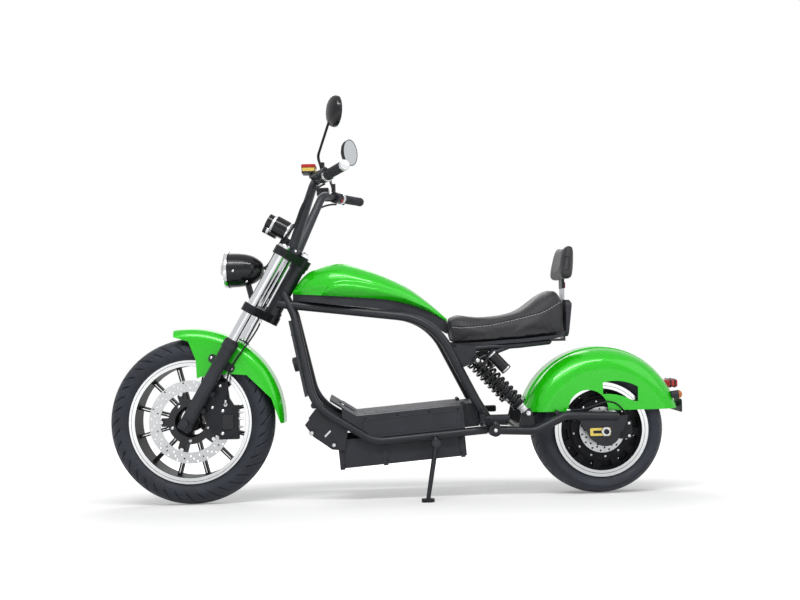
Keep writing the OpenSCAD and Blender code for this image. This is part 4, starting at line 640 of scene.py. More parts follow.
# Coats made from the frame's black: share of its colour, roughness, metallic, grain and its depth
BLACK_COATS = {
    "satin_black": (1.0, 0.36, 0.0, 900.0, 0.00008),
    "charcoal_coat": (1.35, 0.38, 0.0, 900.0, 0.00008),
    "grained_black": (1.25, 0.5, 0.0, 650.0, 0.0002),
    "gloss_black": (0.45, 0.14, 0.0, 300.0, 0.00002),
    "black_alloy": (0.75, 0.4, 0.3, 800.0, 0.00008),
    "deck_mat": (1.6, 0.62, 0.0, 500.0, 0.0004),
    "smooth_rubber": (0.55, 0.55, 0.0, 700.0, 0.0001),
    "grip_rubber": (1.1, 0.65, 0.0, 500.0, 0.0002),
}
# Metals and coloured plastics: colour, roughness, metallic, grain and its depth, and how far the tint varies
BRIGHT_COATS = {
    "bright_steel": ((0.60, 0.61, 0.62), 0.26, 1.0, 900.0, 0.00002, 0.1),
    "chrome": ((0.60, 0.61, 0.63), 0.07, 1.0, 200.0, 0.000004, 0.06),
    "white_metal": ((0.70, 0.71, 0.72), 0.3, 0.35, 500.0, 0.00005, 0.06),
    "gold_cap": ((0.62, 0.48, 0.12), 0.3, 0.8, 500.0, 0.00004, 0.12),
    "battery_grey": ((0.16, 0.16, 0.17), 0.6),
    "red_cap": ((0.42, 0.02, 0.015), 0.32),
    "amber_lens": ((0.50, 0.15, 0.02), 0.18),
}


def make_finishes(colours):
    """All finishes, named for what they cover."""
    dark = tuple(colours.frame_black)
    paint_finish(tuple(colours.paint))
    for name, (share, *values) in BLACK_COATS.items():
        plain_finish(name, tint(dark, share), *values)
    for name, values in BRIGHT_COATS.items():
        plain_finish(name, *values)
    plain_finish("tyre_rubber", tuple(colours.tyre), 0.6, 0.0, 420.0, 0.00018, 0.22)
    rim_finish("front_wheel_coat", "front", (0.1955, 0.2068, 0.2082, 0.3), 0.038, tint(dark, 0.4), 12)
    rim_finish("rear_wheel_coat", "rear", (0.1435, 0.1530, 0.1545, 0.3), 0.08, tint(dark, 0.5))
    disc_finish("front_disc_steel", "front", 0.1045, tint(dark, 0.6))
    disc_finish("rear_disc_steel", "rear", 0.02, tint(dark, 0.6))
    glass_finishes()
    stay_finish(dark)
    seat_finishes(tuple(colours.leather))


# Finish of each solid that isn't satin black
NODE_FINISH = {
    "tank": "candy_green", "front_fender": "candy_green", "rear_fender": "candy_green",
    "stanchions": "chrome", "front_rim": "front_wheel_coat", "rear_rim": "rear_wheel_coat",
    "front_disc": "front_disc_steel", "rear_disc": "rear_disc_steel", "front_axle": "charcoal_coat",
    "rear_axle": "black_alloy", "backrest_stay": "stay_steel_painted_shade_below", "headlamp": "gloss_black",
    "gauge_pod": "gloss_black", "headlamp_lens": "clear_glass", "mirror_glass": "silvered_glass",
    "tail_lamp": "red_lens", "rear_indicators": "grained_black", "plate_bracket": "grained_black",
    "tank_trim": "grained_black", "seat_base": "grained_black", "neck_panel": "grained_black",
    "deck_case": "grained_black", "deck_lid": "deck_mat", "battery": "battery_grey", "grips": "grip_rubber",
    "controls": "black_alloy", "mirrors": "gloss_black", "front_caliper": "black_alloy",
    "rear_caliper": "black_alloy", "fork_clamps": "black_alloy", "sliders": "charcoal_coat",
    "front_hose": "smooth_rubber", "rear_hose": "smooth_rubber", "loom": "smooth_rubber",
    "handlebar": "charcoal_coat", "seat_shell": "grained_black", "battery_case": "grained_black",
    "shocks": "gloss_black", "shock_springs": "gloss_black", "side_stand": "black_alloy",
    "peg_left": "black_alloy", "peg_right": "black_alloy",
}


# Settings

class ScooterLook(bpy.types.PropertyGroup):
    """Colours a user would change."""
    paint: FloatVectorProperty(name="Paint", description="Colour of the tank and fenders",
                               subtype="COLOR", size=3, default=(0.014, 0.55, 0.003))
    frame_black: FloatVectorProperty(name="Frame black", description="Colour of the coated tubes",
                                     subtype="COLOR", size=3, default=(0.018, 0.019, 0.024))
    tyre: FloatVectorProperty(name="Tyre", description="Colour of the tyre rubber",
                              subtype="COLOR", size=3, default=(0.024, 0.027, 0.037))
    leather: FloatVectorProperty(name="Leather", description="Colour of the seat cover",
                                 subtype="COLOR", size=3, default=(0.017, 0.017, 0.020))


class ScooterSizes(bpy.types.PropertyGroup):
    """Sizes of the dressed pieces a user would change."""
    tread_depth: FloatProperty(name="Tread depth", description="Depth of the tyre grooves",
                               unit="LENGTH", default=0.0045)
    front_pitches: IntProperty(name="Front pitches", description="Tread repeats round the front tyre",
                               default=20)
    rear_pitches: IntProperty(name="Rear pitches", description="Tread repeats round the rear tyre",
                              default=18)
    tank_crease: FloatProperty(name="Tank crease", description="Bulge of the side below the crease",
                               unit="LENGTH", default=0.013)
    seat_swell: FloatProperty(name="Seat swell", description="Most that the seat's cover may swell",
                              unit="LENGTH", default=0.008)
    stitch: FloatProperty(name="Stitch length", description="Length of one stitch",
                          unit="LENGTH", default=0.007)


def look():
    """The scene's colours."""
    return bpy.context.scene.scooter_look


def sizes():
    """The scene's sizes."""
    return bpy.context.scene.scooter_sizes


# Tyres

# Section from the bead to the crown: shares of its height and of its half width
FRONT_TYRE = dict(crown=292.0, bead=207.0, width=112.0, fine=7, cuts=(0.08, 0.92), shares=[
    (0, 0.72), (0.13, 0.79), (0.33, 0.96), (0.5, 1.0), (0.7, 0.92), (0.88, 0.62), (0.97, 0.3), (1, 0)])
REAR_TYRE = dict(crown=233.5, bead=156.5, width=212.0, fine=6, cuts=(0.06, 0.62), shares=[
    (0, 0.8), (0.13, 0.85), (0.3, 0.955), (0.47, 1.0), (0.62, 0.965), (0.79, 0.8), (0.895, 0.6), (0.965, 0.34),
    (1, 0)])
# Steps to a tread pitch, how far a cut slants in pitches, the tread's edge as a share of the way to the bead
PITCH_STEPS, TREAD_SLANT, TREAD_EDGE = 42, 0.85, 0.72
# Half widths of the long and the short cuts, in pitches
LONG_CUT, SHORT_CUT = 0.048, 0.036
# Raised rings on the sidewall: height in millimetres, place and half width as shares of the section's height
WALL_RINGS = ((1.0, 0.50, 0.022), (0.8, 0.12, 0.02))


def slash(phase, reach, low, high, half):
    """One along a slanting cut about phase one half.

    Its half width swells as a half ellipse between two side places, and its edges are eased.
    """
    swell = np.sqrt(np.clip((reach - low) * (high - reach) * 4 / (high - low) ** 2, 0, 1))
    return np.clip((half * swell - np.abs(phase - 0.5)) / (0.45 * half), 0, 1)


def tread_surface(tyre, pitches, depth, axle):
    """Tyre section carried round the axle; slashes of angle and side place lower it, bell-shaped rings raise it."""
    half = curve_through(tyre["shares"], tyre["fine"])
    section = np.concatenate([half, (half * [1, -1])[-2::-1]])
    rise, share = section[:, 0], section[:, 1]
    radius = tyre["bead"] + rise * (tyre["crown"] - tyre["bead"])
    place = share * tyre["width"] / 2
    step = np.gradient(np.stack([radius, place], 1), axis=0)
    normal = np.stack([-step[:, 1], step[:, 0]], 1)
    normal /= np.linalg.norm(normal, axis=1, keepdims=True)
    angle = circle(pitches * PITCH_STEPS)
    # Side place from the crown to the tread's edge, by the way along the section
    way = np.cumsum(np.linalg.norm(step, axis=1))
    crown = way[len(way) // 2]
    reach = np.abs(way - crown) / (crown * TREAD_EDGE)
    lead = np.where(share > 0, 0.0, 0.5)
    pitch = angle[:, None] / (2 * math.pi) * pitches + lead[None]
    low, high = tyre["cuts"]
    slant = TREAD_SLANT * reach**1.2
    long_cut = slash(np.mod(pitch + slant, 1.0), reach[None], low, high, LONG_CUT)
    short_cut = slash(np.mod(pitch + 0.5 + slant, 1.0), reach[None], (low + high) / 2, high, SHORT_CUT)
    rings = sum(tall * np.exp(-((rise - at) / wide) ** 2) for tall, at, wide in WALL_RINGS)
    offset = rings[None] - depth / MM * np.maximum(long_cut, short_cut)
    r = radius[None] + normal[:, 0][None] * offset
    y = place[None] + normal[:, 1][None] * offset
    local = np.stack([r * np.cos(angle)[:, None], r * np.sin(angle)[:, None], y], -1)
    return grid(hub(axle)(local), wrap_rows=True, wrap_cols=True)


class SCOOTER_OT_tyres(bpy.types.Operator):
    """Treaded tyres in place of the plain ones"""
    bl_idname = "scooter.tyres"
    bl_label = "Tyres"

    def execute(self, context):
        for axle, tyre, pitches in (("front", FRONT_TYRE, sizes().front_pitches),
                                    ("rear", REAR_TYRE, sizes().rear_pitches)):
            surface = tread_surface(tyre, pitches, sizes().tread_depth, axle)
            made = piece(f"{axle}_tread", surface, "tyre_rubber", f"{axle}_wheel")
            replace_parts(made, f"{axle}_tyre")
        return {"FINISHED"}


# Tank

# Front end, length, lowest height, height and half width, millimetres
TANK_FRONT, TANK_LENGTH, TANK_LOW, TANK_TALL, TANK_HALF = 356.0, 546.0, 620.0, 225.0, 112.0
# Length share from the front, then bottom, waist and top height shares, and half width share
TANK_SHARES = [
    (0, 0.505, 0.53, 0.56, 0.32), (0.07, 0.49, 0.56, 0.78, 0.62), (0.16, 0.475, 0.60, 0.92, 0.84),
    (0.30, 0.45, 0.62, 1.0, 1.0), (0.45, 0.42, 0.57, 0.92, 0.98), (0.60, 0.385, 0.50, 0.77, 0.86),
    (0.75, 0.30, 0.40, 0.57, 0.66), (0.88, 0.18, 0.25, 0.33, 0.46), (1.0, 0.02, 0.04, 0.07, 0.26)]
# Power of the superellipse, and where down the side the bulge is greatest
TANK_POWER, BULGE_AT = 0.86, 0.4
# Crease along the side, forward and up, from its tail to its front foot
CREASE = np.array([(-185, 628), (-124, 678), (-40, 723), (48, 752), (110, 766), (149, 772), (179, 772.9),
                   (208, 768), (230.6, 756), (251.6, 728.7), (262, 690)], float)


def tank_surface(step):
    """Rings along the tank: a straight flank up to the waist, then a superellipse over the top.

    Powers of cosine and sine give its side and height. From the crease line down to the bottom the side bulges
    by two half parabolas that meet at two fifths of the way.
    """
    share = curve_through(TANK_SHARES, 20)
    x = TANK_FRONT - TANK_LENGTH * share[:, :1]
    bottom, waist, top = (TANK_LOW + TANK_TALL * share[:, k:k + 1] for k in (1, 2, 3))
    width = TANK_HALF * share[:, 4:]
    angle = np.linspace(math.pi, 0, 81)
    side = width * np.sign(np.cos(angle)) * np.abs(np.cos(angle)) ** TANK_POWER
    height = waist + (top - waist) * np.clip(np.sin(angle), 0, 1) ** TANK_POWER
    rise = np.linspace(0, 1, 16)[:-1]
    flank_side, flank_height = width * (0.9 + 0.1 * rise), bottom + (waist - bottom) * rise
    side = np.concatenate([-flank_side, side, flank_side[:, ::-1]], 1)
    height = np.concatenate([flank_height, height, flank_height[:, ::-1]], 1)
    line = np.interp(x, CREASE[:, 0], CREASE[:, 1])
    drop = np.maximum(line - bottom, 1e-3)
    down = np.clip((line - height) / drop, 0, 1) - BULGE_AT
    bulge = 1 - np.where(down < 0, down / BULGE_AT, down / (1 - BULGE_AT)) ** 2
    push = step / MM * np.clip(drop / 20.0, 0, 1) * bulge * (np.abs(side) > 0.4 * width)
    points = np.stack([np.broadcast_to(x, side.shape), side + np.sign(side) * push, height], -1)
    return grid(leaned(capped(points)))


class SCOOTER_OT_tank(bpy.types.Operator):
    """Smooth tank with the crease along each side"""
    bl_idname = "scooter.tank"
    bl_label = "Tank"

    def execute(self, context):
        skin = piece("tank_skin", tank_surface(sizes().tank_crease), "candy_green", "frame", POLISHED)
        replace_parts(skin, "tank")
        return {"FINISHED"}


# Soft seat

# Size of the even mesh, the air pressure in the cover and the frames it is blown up for
VOXEL, PRESSURE, BLOW_FRAMES = 0.005, 4.0, 20


def baked(obj):
    """Bakes an object's modifiers into its mesh."""
    mesh = bpy.data.meshes.new_from_object(obj.evaluated_get(bpy.context.evaluated_depsgraph_get()))
    obj.modifiers.clear()
    obj.data = mesh


def blown_up(obj, cap):
    """Vertex places after the cover is blown up as cloth, none moved further than the cap."""
    start = mesh_points(obj.data, "co")
    cloth = obj.modifiers.new("cover", "CLOTH")
    cloth.settings.use_pressure = True
    cloth.settings.uniform_pressure_force = PRESSURE
    cloth.settings.effector_weights.gravity = 0.0
    cloth.settings.quality = 4
    for step in range(1, BLOW_FRAMES + 1):
        bpy.context.scene.frame_set(step)
    seen = obj.evaluated_get(bpy.context.evaluated_depsgraph_get())
    shift = mesh_points(seen.data, "co") - start
    length = np.linalg.norm(shift, axis=1, keepdims=True)
    obj.modifiers.clear()
    return start + shift * np.minimum(1.0, cap / np.maximum(length, 1e-9))


def soft_copy(node, name, cap, shrink):
    """Copy of a soft solid: evenly remeshed, drawn in along its normals, then blown up as cloth within a cap."""
    work = bmesh.new()
    work.from_mesh(NODES[node].data)
    bmesh.ops.remove_doubles(work, verts=work.verts, dist=1e-5)
    mesh = bpy.data.meshes.new(name)
    work.to_mesh(mesh)
    work.free()
    obj = bpy.data.objects.new(name, mesh)
    bpy.context.scene.collection.objects.link(obj)
    remesh = obj.modifiers.new("even", "REMESH")
    remesh.mode, remesh.voxel_size = "VOXEL", VOXEL
    obj.modifiers.new("ease", "SMOOTH").iterations = 6
    baked(obj)
    start = mesh_points(obj.data, "co") - mesh_points(obj.data, "normal") * shrink
    obj.data.vertices.foreach_set("co", start.ravel())
    obj.data.update()
    obj.data.vertices.foreach_set("co", blown_up(obj, cap).astype(np.float32).ravel())
    bpy.context.scene.frame_set(1)
    obj.data.update()
    fine = obj.modifiers.new("fine", "SUBSURF")
    fine.levels = fine.render_levels = 1
    baked(obj)
    obj.data.shade_smooth()
    obj.data.materials.clear()
    obj.data.materials.append(FINISHES["seat_leather"])
    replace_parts(obj, node)
    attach(obj, "frame")
    return obj


# Side place clear of the seat, from which lines are cast inwards, and the seam's line on it, forward and up
CLEAR_SIDE = 260.0
SEAM = np.array([(-201, 610), (-234, 606), (-288, 608.7), (-337, 613.3), (-400, 625.2), (-445, 635.2),
                 (-513, 651.4), (-553, 670.5), (-581, 685.5), (-597, 690)], float)
# Radii of the seam's piping and the thread, lift of a stitch, and how far below the seam the stitches run
PIPING, THREAD, STITCH_LIFT, STITCH_DROP = 0.0018, 0.0013, 0.0012, 5.5
# Where the stitches begin, and their pitch in stitch lengths
STITCH_BEGIN, STITCH_PITCH = 0.006, 1.55


def seam_path(obj, side, drop):
    """The seam's line laid on the cover: each point is where a line from the side meets it."""
    starts = upright(curve_through(SEAM, 10), 0.0, side * CLEAR_SIDE, -drop)
    return on_skin(obj, starts, (0, -side, 0), leaned)


def stitches(path, length, lift):
    """Short tubes along a path, one for each pitch of its length, each arched in the middle."""
    gaps = np.linalg.norm(np.diff(path, axis=0), axis=1)
    way = np.concatenate([[0], np.cumsum(gaps)])
    begins = np.arange(STITCH_BEGIN, way[-1] - length, length * STITCH_PITCH)
    at = begins[:, None] + np.linspace(0, 1, 5) * length
    points = np.stack([np.interp(at, way, path[:, k]) for k in range(3)], -1)
    points = points + np.array([0.1, 0.7, 1.0, 0.7, 0.1])[None, :, None] * lift
    return joined([tube(run, THREAD, 6) for run in points])


class SCOOTER_OT_seat(bpy.types.Operator):
    """Soft seat with its side seam and stitching"""
    bl_idname = "scooter.seat"
    bl_label = "Seat"

    def execute(self, context):
        seat = soft_copy("seat_pad", "soft_seat", sizes().seat_swell, 0.006)
        seam = both_sides(lambda side: tube(seam_path(seat, side, 0.0), PIPING, 8))
        piece("seat_seam", seam, "seat_leather", "frame")
        out = LEAN @ [0, STITCH_LIFT, 0]
        sewn = both_sides(lambda side: stitches(seam_path(seat, side, STITCH_DROP), sizes().stitch, side * out))
        piece("seat_stitches", sewn, "pale_thread", "frame")
        return {"FINISHED"}


class SCOOTER_OT_backrest(bpy.types.Operator):
    """Soft backrest pad with the oval on each side, and the stay's head, screws and reflector"""
    bl_idname = "scooter.backrest"
    bl_label = "Backrest"

    def execute(self, context):
        pad = soft_copy("backrest_pad", "soft_backrest", sizes().seat_swell * 0.75, 0.002)
        outline = rounded(9.0, 25.0, 8.5)
        outline[:, 0] -= 0.14 * outline[:, 1]

        def oval(side):
            """Ring laid on the pad's side: a rounded outline leaned back with the pad."""
            starts = upright(outline, -609.0, side * CLEAR_SIDE, 820.0)
            return hoop(on_skin(pad, starts, (0, -side, 0), leaned), 0.0016)
        piece("backrest_ovals", both_sides(oval), "smooth_rubber", "frame")

        stay, behind = NODES["backrest_stay"], -760.0
        lines = [((behind, y, 718.0), FORWARD) for y in (-14.0, 14.0)]
        fasteners("stay_screws", stay, lines, leaned, 5.0, "frame", "black_alloy")
        reflector = plate_on(stay, ((behind, 0.0, 745.0), FORWARD), leaned, rounded(18.0, 11.0, 5.0), 6.0)
        head = plate_on(stay, ((behind, 0.0, 756.0), FORWARD), leaned, rounded(27.0, 24.0, 4.0), 0.8, low=-8.8)
        piece("stay_head", head, "black_alloy", "frame", MACHINED)
        piece("stay_reflector", reflector, "red_cap", "frame", MACHINED)
        return {"FINISHED"}


# Fittings

# Radii of a valve's stem from its root to its tip
VALVE = np.array([4.2, 3.4, 2.6, 2.6]) * MM


class SCOOTER_OT_front_wheel(bpy.types.Operator):
    """Disc bolts, disc buttons and valve of the front wheel"""
    bl_idname = "scooter.front_wheel"
    bl_label = "Front wheel fittings"

    def execute(self, context):
        place, body = hub("front"), "front_wheel"
        fasteners("front_disc_bolts", "front_disc", ring_lines(5, 66.0, 90.0, 18.0), place, 6.0, body)
        fasteners("disc_buttons", "front_disc", ring_lines(5, 101.5, 90.0, 0.0), place, 7.0, body,
                  shape=FLAT_HEAD)
        stem = [(140.0, 140.0, 14.0), (128.0, 128.0, 18.0), (121.0, 121.0, 20.0), (112.0, 112.0, 22.0)]
        piece("front_valve", tube(place(stem), VALVE), "smooth_rubber", body)
        return {"FINISHED"}


class SCOOTER_OT_rear_wheel(bpy.types.Operator):
    """Motor cover bolts, disc bolts, rim screws and valve of the rear wheel"""
    bl_idname = "scooter.rear_wheel"
    bl_label = "Rear wheel fittings"

    def execute(self, context):
        place, body = hub("rear"), "rear_wheel"
        lines = ring_lines(12, 97.0, 130.0, 8.0) + ring_lines(12, 97.0, -130.0, 8.0)
        fasteners("motor_bolts", "rear_rim", lines, place, 4.2, body)
        fasteners("rear_disc_bolts", "rear_disc", ring_lines(5, 54.0, 130.0, 0.0), place, 4.0, body,
                  "black_alloy", FLAT_HEAD)
        fasteners("rim_screws", "rear_rim", ring_lines(8, 128.0, 130.0, 31.5), place, 3.2, body)
        stem = [(103.0, 103.0, 66.0), (101.0, 101.0, 82.0), (99.0, 99.0, 92.0), (98.0, 98.0, 98.0)]
        piece("rear_valve", tube(place(stem), VALVE), "smooth_rubber", body)
        return {"FINISHED"}


class SCOOTER_OT_fork(bpy.types.Operator):
    """Bolts, seals and fender brackets of the fork"""
    bl_idname = "scooter.fork"
    bl_label = "Fork fittings"

    def execute(self, context):
        body, above, bracket_up = "steering", 780.0, 234.0
        fasteners("clamp_bolts", "fork_clamps", sideways([(-8.0, 450.0), (-8.0, 676.0)]), fork, 6.5, body,
                  "black_alloy", CAP_HEAD)
        fasteners("stem_nut", "fork_clamps", [((-62.0, 0.0, above), DOWN)], fork, 16.0, body, "chrome", HEX_NUT, 6)
        lines = [((0.0, side * LEG_SIDE, above), DOWN) for side in (1, -1)]
        fasteners("leg_caps", "stanchions", lines, fork, 11.0, body, "chrome", steps=24)
        seal = [(17.7, 317), (26, 317), (26, 321), (24.5, 323), (20, 328), (17.7, 328), (17.7, 317)]
        piece("fork_seals", spun_pair(seal, 36, fork, (0, LEG_SIDE, 0), UP), "smooth_rubber", body)
        outline = rounded(50.0, 15.0, 12.0)
        plates = both_sides(lambda side: side_plate(outline, 70.5, 73.5, 0.8, fork, 0.0, bracket_up, side))
        brackets = piece("fender_brackets", plates, "charcoal_coat", body, MACHINED)
        lines = sideways([(-40.0, bracket_up), (40.0, bracket_up)], 110.0)
        fasteners("fender_screws", brackets, lines, fork, 5.0, body)
        return {"FINISHED"}


class SCOOTER_OT_calipers(bpy.types.Operator):
    """Bolts, cover, pins and hose unions of the brake calipers"""
    bl_idname = "scooter.calipers"
    bl_label = "Caliper fittings"

    def execute(self, context):
        spots = [(608.9, 416.9), (636.6, 342.3), (600.2, 329.5), (601.3, 251.0)]
        lines = [((x, 110.0, z), RIGHT) for x, z in spots]
        fasteners("caliper_bolts", "front_caliper", lines, steered, 6.5, "steering")
        cover = side_plate(rounded(21.0, 27.0, 9.0), 69.5, 74.5, 1.6, steered, 582.0, 291.0)
        piece("caliper_cover", cover, "gloss_black", "steering", MACHINED)
        stepped = np.array([5.0, 5.0, 3.2, 3.2]) * MM
        pins = [tube(steered([(x, 54.0, z) for x in (549.0, 541.0, 540.5, 532.0)]), stepped)
                for z in (322.0, 300.0, 272.0)]
        piece("caliper_pins", joined(pins), "bright_steel", "steering", MACHINED)
        union = [(0, 70.2), (7, 70.2), (7, 76.5), (5, 78), (0, 78)]
        piece("hose_union", spun(union, 16, fork, (-82.5, 0.0, 115.6), LEFT), "bright_steel", "steering", MACHINED)
        lines = [((-808.0, 200.0, z), RIGHT) for z in (256.0, 212.0)]
        fasteners("rear_caliper_bolts", "rear_caliper", lines, leaned, 5.5, "frame")
        return {"FINISHED"}


class SCOOTER_OT_headlamp(bpy.types.Operator):
    """Chrome rim, reflector, bulb and screws of the headlamp"""
    bl_idname = "scooter.headlamp"
    bl_label = "Headlamp"

    def execute(self, context):
        body, middle = "steering", (531.0, 0.0, 826.0)
        rim = [(63.6, 52), (65.8, 52), (66.5, 57), (66, 62), (63.6, 65), (60.6, 65.6), (59.2, 64.4), (59.2, 60),
               (63.6, 52)]
        piece("lamp_rim", spun(rim, 64, steered, middle, FORWARD), "chrome", body, POLISHED)
        bowl = [(0, 37.8), (12, 38.2), (35, 39.8), (50, 43.2), (57.8, 48.6), (58, 48), (50, 42.4), (35, 39),
                (12, 37.3), (0, 36.9)]
        piece("lamp_bowl", spun(bowl, 48, steered, middle, FORWARD), "chrome", body)
        bulb = [(0, 37.5), (10, 37.5), (10, 40.5), (7, 41.5), (7.4, 45), (5.4, 48.4), (0, 49.4)]
        piece("lamp_bulb", spun(bulb, 24, steered, middle, FORWARD), "white_metal", body)
        fasteners("lamp_screws", "headlamp", sideways([(560.0, 818.0), (516.0, 782.0)]), steered, 4.5, body)
        return {"FINISHED"}


# Heights of the large and the small gauge along the fork
LARGE_GAUGE, SMALL_GAUGE = 752.0, 723.2


class SCOOTER_OT_gauges(bpy.types.Operator):
    """Bright bands of the gauges, and the dial that faces the rider"""
    bl_idname = "scooter.gauges"
    bl_label = "Gauges"

    def execute(self, context):
        body = "steering"
        large = [(28, 84), (36.7, 84), (36.9, 88), (36.6, 92.4), (28, 93), (28, 84)]
        small = [(10, 92), (17.7, 92), (17.9, 97), (17.7, 101), (10, 101), (10, 92)]
        bands = [spun(profile, steps, fork, (0, 0, up), FORWARD)
                 for profile, steps, up in ((large, 48, LARGE_GAUGE), (small, 36, SMALL_GAUGE))]
        piece("gauge_bands", joined(bands), "white_metal", body, MACHINED)
        bezel = [(32.6, 26.6), (36.6, 26.6), (37.2, 29), (36.7, 33), (34, 33), (34, 29.3), (32.6, 28.6),
                 (32.6, 26.6)]
        piece("dial_rim", spun(bezel, 48, fork, (0, 0, LARGE_GAUGE), FORWARD), "chrome", body, MACHINED)

        def mark(angle, radius, half_width, half_length):
            """Thin raised bar on the dial, turned to its angle."""
            c, s = math.cos(angle), math.sin(angle)
            outline = rounded(half_width, half_length, half_width * 0.6, 3)
            return slab(outline, 29.0, 30.2, 0.2, lambda ring, h: fork(np.stack(
                [np.full(len(ring), h), ring[:, 0] * c + (ring[:, 1] + radius) * s,
                 LARGE_GAUGE - ring[:, 0] * s + (ring[:, 1] + radius) * c], 1)))
        marks = [mark(a, 28.0, 0.7 if k % 3 else 1.1, 2.2 if k % 3 else 3.4)
                 for k, a in enumerate(np.linspace(-2.2, 2.2, 25))]
        piece("dial_marks", joined(marks), "white_metal", body, MACHINED)
        piece("dial_needle", mark(-1.7, 10.0, 1.1, 14.0), "red_cap", body, MACHINED)
        return {"FINISHED"}


ELBOW, BAR_TIP = np.array([258.0, 140.0, 1110.0]), np.array([140.0, 371.0, 1119.0])
BAR_WAY = (BAR_TIP - ELBOW) / np.linalg.norm(BAR_TIP - ELBOW)
GRIP_START = np.linalg.norm(BAR_TIP - ELBOW) - 128.0
# Middle of a brake fluid reservoir, forward and to the side
RESERVOIR = (265.1, 230.4)


def bar_spun(profile, steps, side):
    """A profile spun about one side's handlebar, from where the grip starts."""
    return spun(profile, steps, steered, sided(ELBOW + BAR_WAY * GRIP_START, side), sided(BAR_WAY, side))


class SCOOTER_OT_bars(bpy.types.Operator):
    """Ribbed grips, collars, bar ends, reservoir caps and switch buttons"""
    bl_idname = "scooter.bars"
    bl_label = "Handlebar fittings"

    def execute(self, context):
        body = "steering"
        along = np.linspace(7, 130, 200)
        ribs = np.stack([16.0 + 0.9 * np.abs(np.sin(math.pi * along / 6.5)) ** 0.7, along], 1)
        grip = np.concatenate([[(0, 0), (19.6, 0), (20.3, 2.5), (19.6, 5)], ribs, [(15.4, 132.6), (0, 133)]])
        grips = piece("ribbed_grips", both_sides(lambda side: bar_spun(grip, 28, side)), "grip_rubber", body)
        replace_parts(grips, "grips")
        collar = [(0, -14), (18.2, -14), (21.4, -12), (22.4, -5), (21.6, 2.2), (0, 2.4)]
        collars = both_sides(lambda side: bar_spun(collar, 36, side))
        piece("grip_collars", collars, "white_metal", body, MACHINED)
        end = [(0, 132.4), (16.2, 132.4), (17.2, 134), (17.2, 143), (15.6, 147), (9, 149.6), (0, 150)]
        for side, name, finish in ((1, "bar_end_left", "white_metal"), (-1, "bar_end_right", "grip_rubber")):
            piece(name, bar_spun(end, 36, side), finish, body, MACHINED)

        band = level_plate(rounded(22.8, 26.8, 5.0), 1127.0, 1140.0, 1.4, steered, *RESERVOIR)
        piece("reservoir_band", band, "gold_cap", body, MACHINED)
        for side, name, low, high, finish in ((1, "reservoir_cap_left", 1140.2, 1151.0, "red_cap"),
                                              (-1, "reservoir_cap_right", 1138.0, 1150.0, "gloss_black")):
            plate = level_plate(rounded(23.6, 27.6, 5.0), low, high, 1.4, steered, *RESERVOIR, side)
            cap = piece(name, plate, finish, body, MACHINED)
            corners = np.add(RESERVOIR, ((-15, 18), (15, -18)))
            lines = [((x, side * y, 1200.0), DOWN) for x, y in corners]
            fasteners(f"{name}_screws", cap, lines, steered, 3.6, body)
        pod = ELBOW + BAR_WAY * (GRIP_START - 30)
        lines = [(sided(pod, -1) + (-60, 0, -38), (60, 0, 38))]
        fasteners("stop_button", "controls", lines, steered, 7.5, body, "red_cap", steps=20)
        lines = [(sided(pod, side) + (-60, 0, up), (60, 0, -up)) for side in (1, -1) for up in (20, 38)]
        fasteners("switch_buttons", "controls", lines, steered, 5.0, body, "charcoal_coat", steps=16)
        lines = sideways([(-38.0, 701.0), (-10.0, 701.0)], 110.0)
        fasteners("riser_bolts", "handlebar", lines, fork, 5.0, body)
        return {"FINISHED"}


# Routes of the hoses and the left cable, as the solids have them, and radii
FRONT_HOSE = [(-46, 62, 434.5), (-50, 62, 400), (-48, 70, 350), (-42, 78, 300), (-38, 79, 250), (-43, 80, 205),
              (-56, 82, 172), (-69, 84, 147), (-78, 84.5, 130), (-81.7, 81.5, 120), (-82.5, 76, 116),
              (-82.5, 70.4, 115.6)]
CABLE = [(214.8, 224.6, 1088.3), (240, 196, 1082), (270, 164, 1066), (303, 132, 1030), (332, 106, 970),
         (363.6, 86, 935.5), (387.6, 66, 916), (406.7, 50, 890), (426, 36, 858), (445, 27, 835), (462, 22, 829)]
REAR_HOSE = [(-586, 147, 308.9), (-614, 147, 309.2), (-650, 147, 312), (-690, 146, 324), (-728, 144, 334),
             (-762, 140, 326), (-788, 130, 302), (-800, 118, 280), (-802, 113, 266)]
HOSE_R, CABLE_R, FERRULE_R = 0.003, 0.0035, 0.0042


class SCOOTER_OT_hoses(bpy.types.Operator):
    """Round brake hoses and cables in place of the plain ones, with their ferrules"""
    bl_idname = "scooter.hoses"
    bl_label = "Hoses and cables"

    def execute(self, context):
        front, rear = fork(curve_through(FRONT_HOSE)), leaned(curve_through(REAR_HOSE))
        cables = both_sides(lambda side: tube(steered(sided(curve_through(CABLE), side)), CABLE_R, 14))
        for name, surface, body, node in (("front_hose_line", tube(front, HOSE_R, 14), "steering", "front_hose"),
                                          ("rear_hose_line", tube(rear, HOSE_R, 14), "frame", "rear_hose"),
                                          ("cable_lines", cables, "steering", "loom")):
            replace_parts(piece(name, surface, "smooth_rubber", body), node)
        for name, ends, body in (("front_ferrules", (front[:5], front[-26:-18]), "steering"),
                                 ("rear_ferrules", (rear[:5], rear[-7:]), "frame")):
            sleeves = joined([tube(end, FERRULE_R, 12) for end in ends])
            piece(name, sleeves, "bright_steel", body, MACHINED)
        return {"FINISHED"}


# Spring: turns, radius, where it starts above the foot's eye, its length and the radius of its wire
COIL_TURNS, COIL_R, COIL_START, COIL_LENGTH, WIRE_R = 8, 23.0, 49.9, 165.7, 0.0045


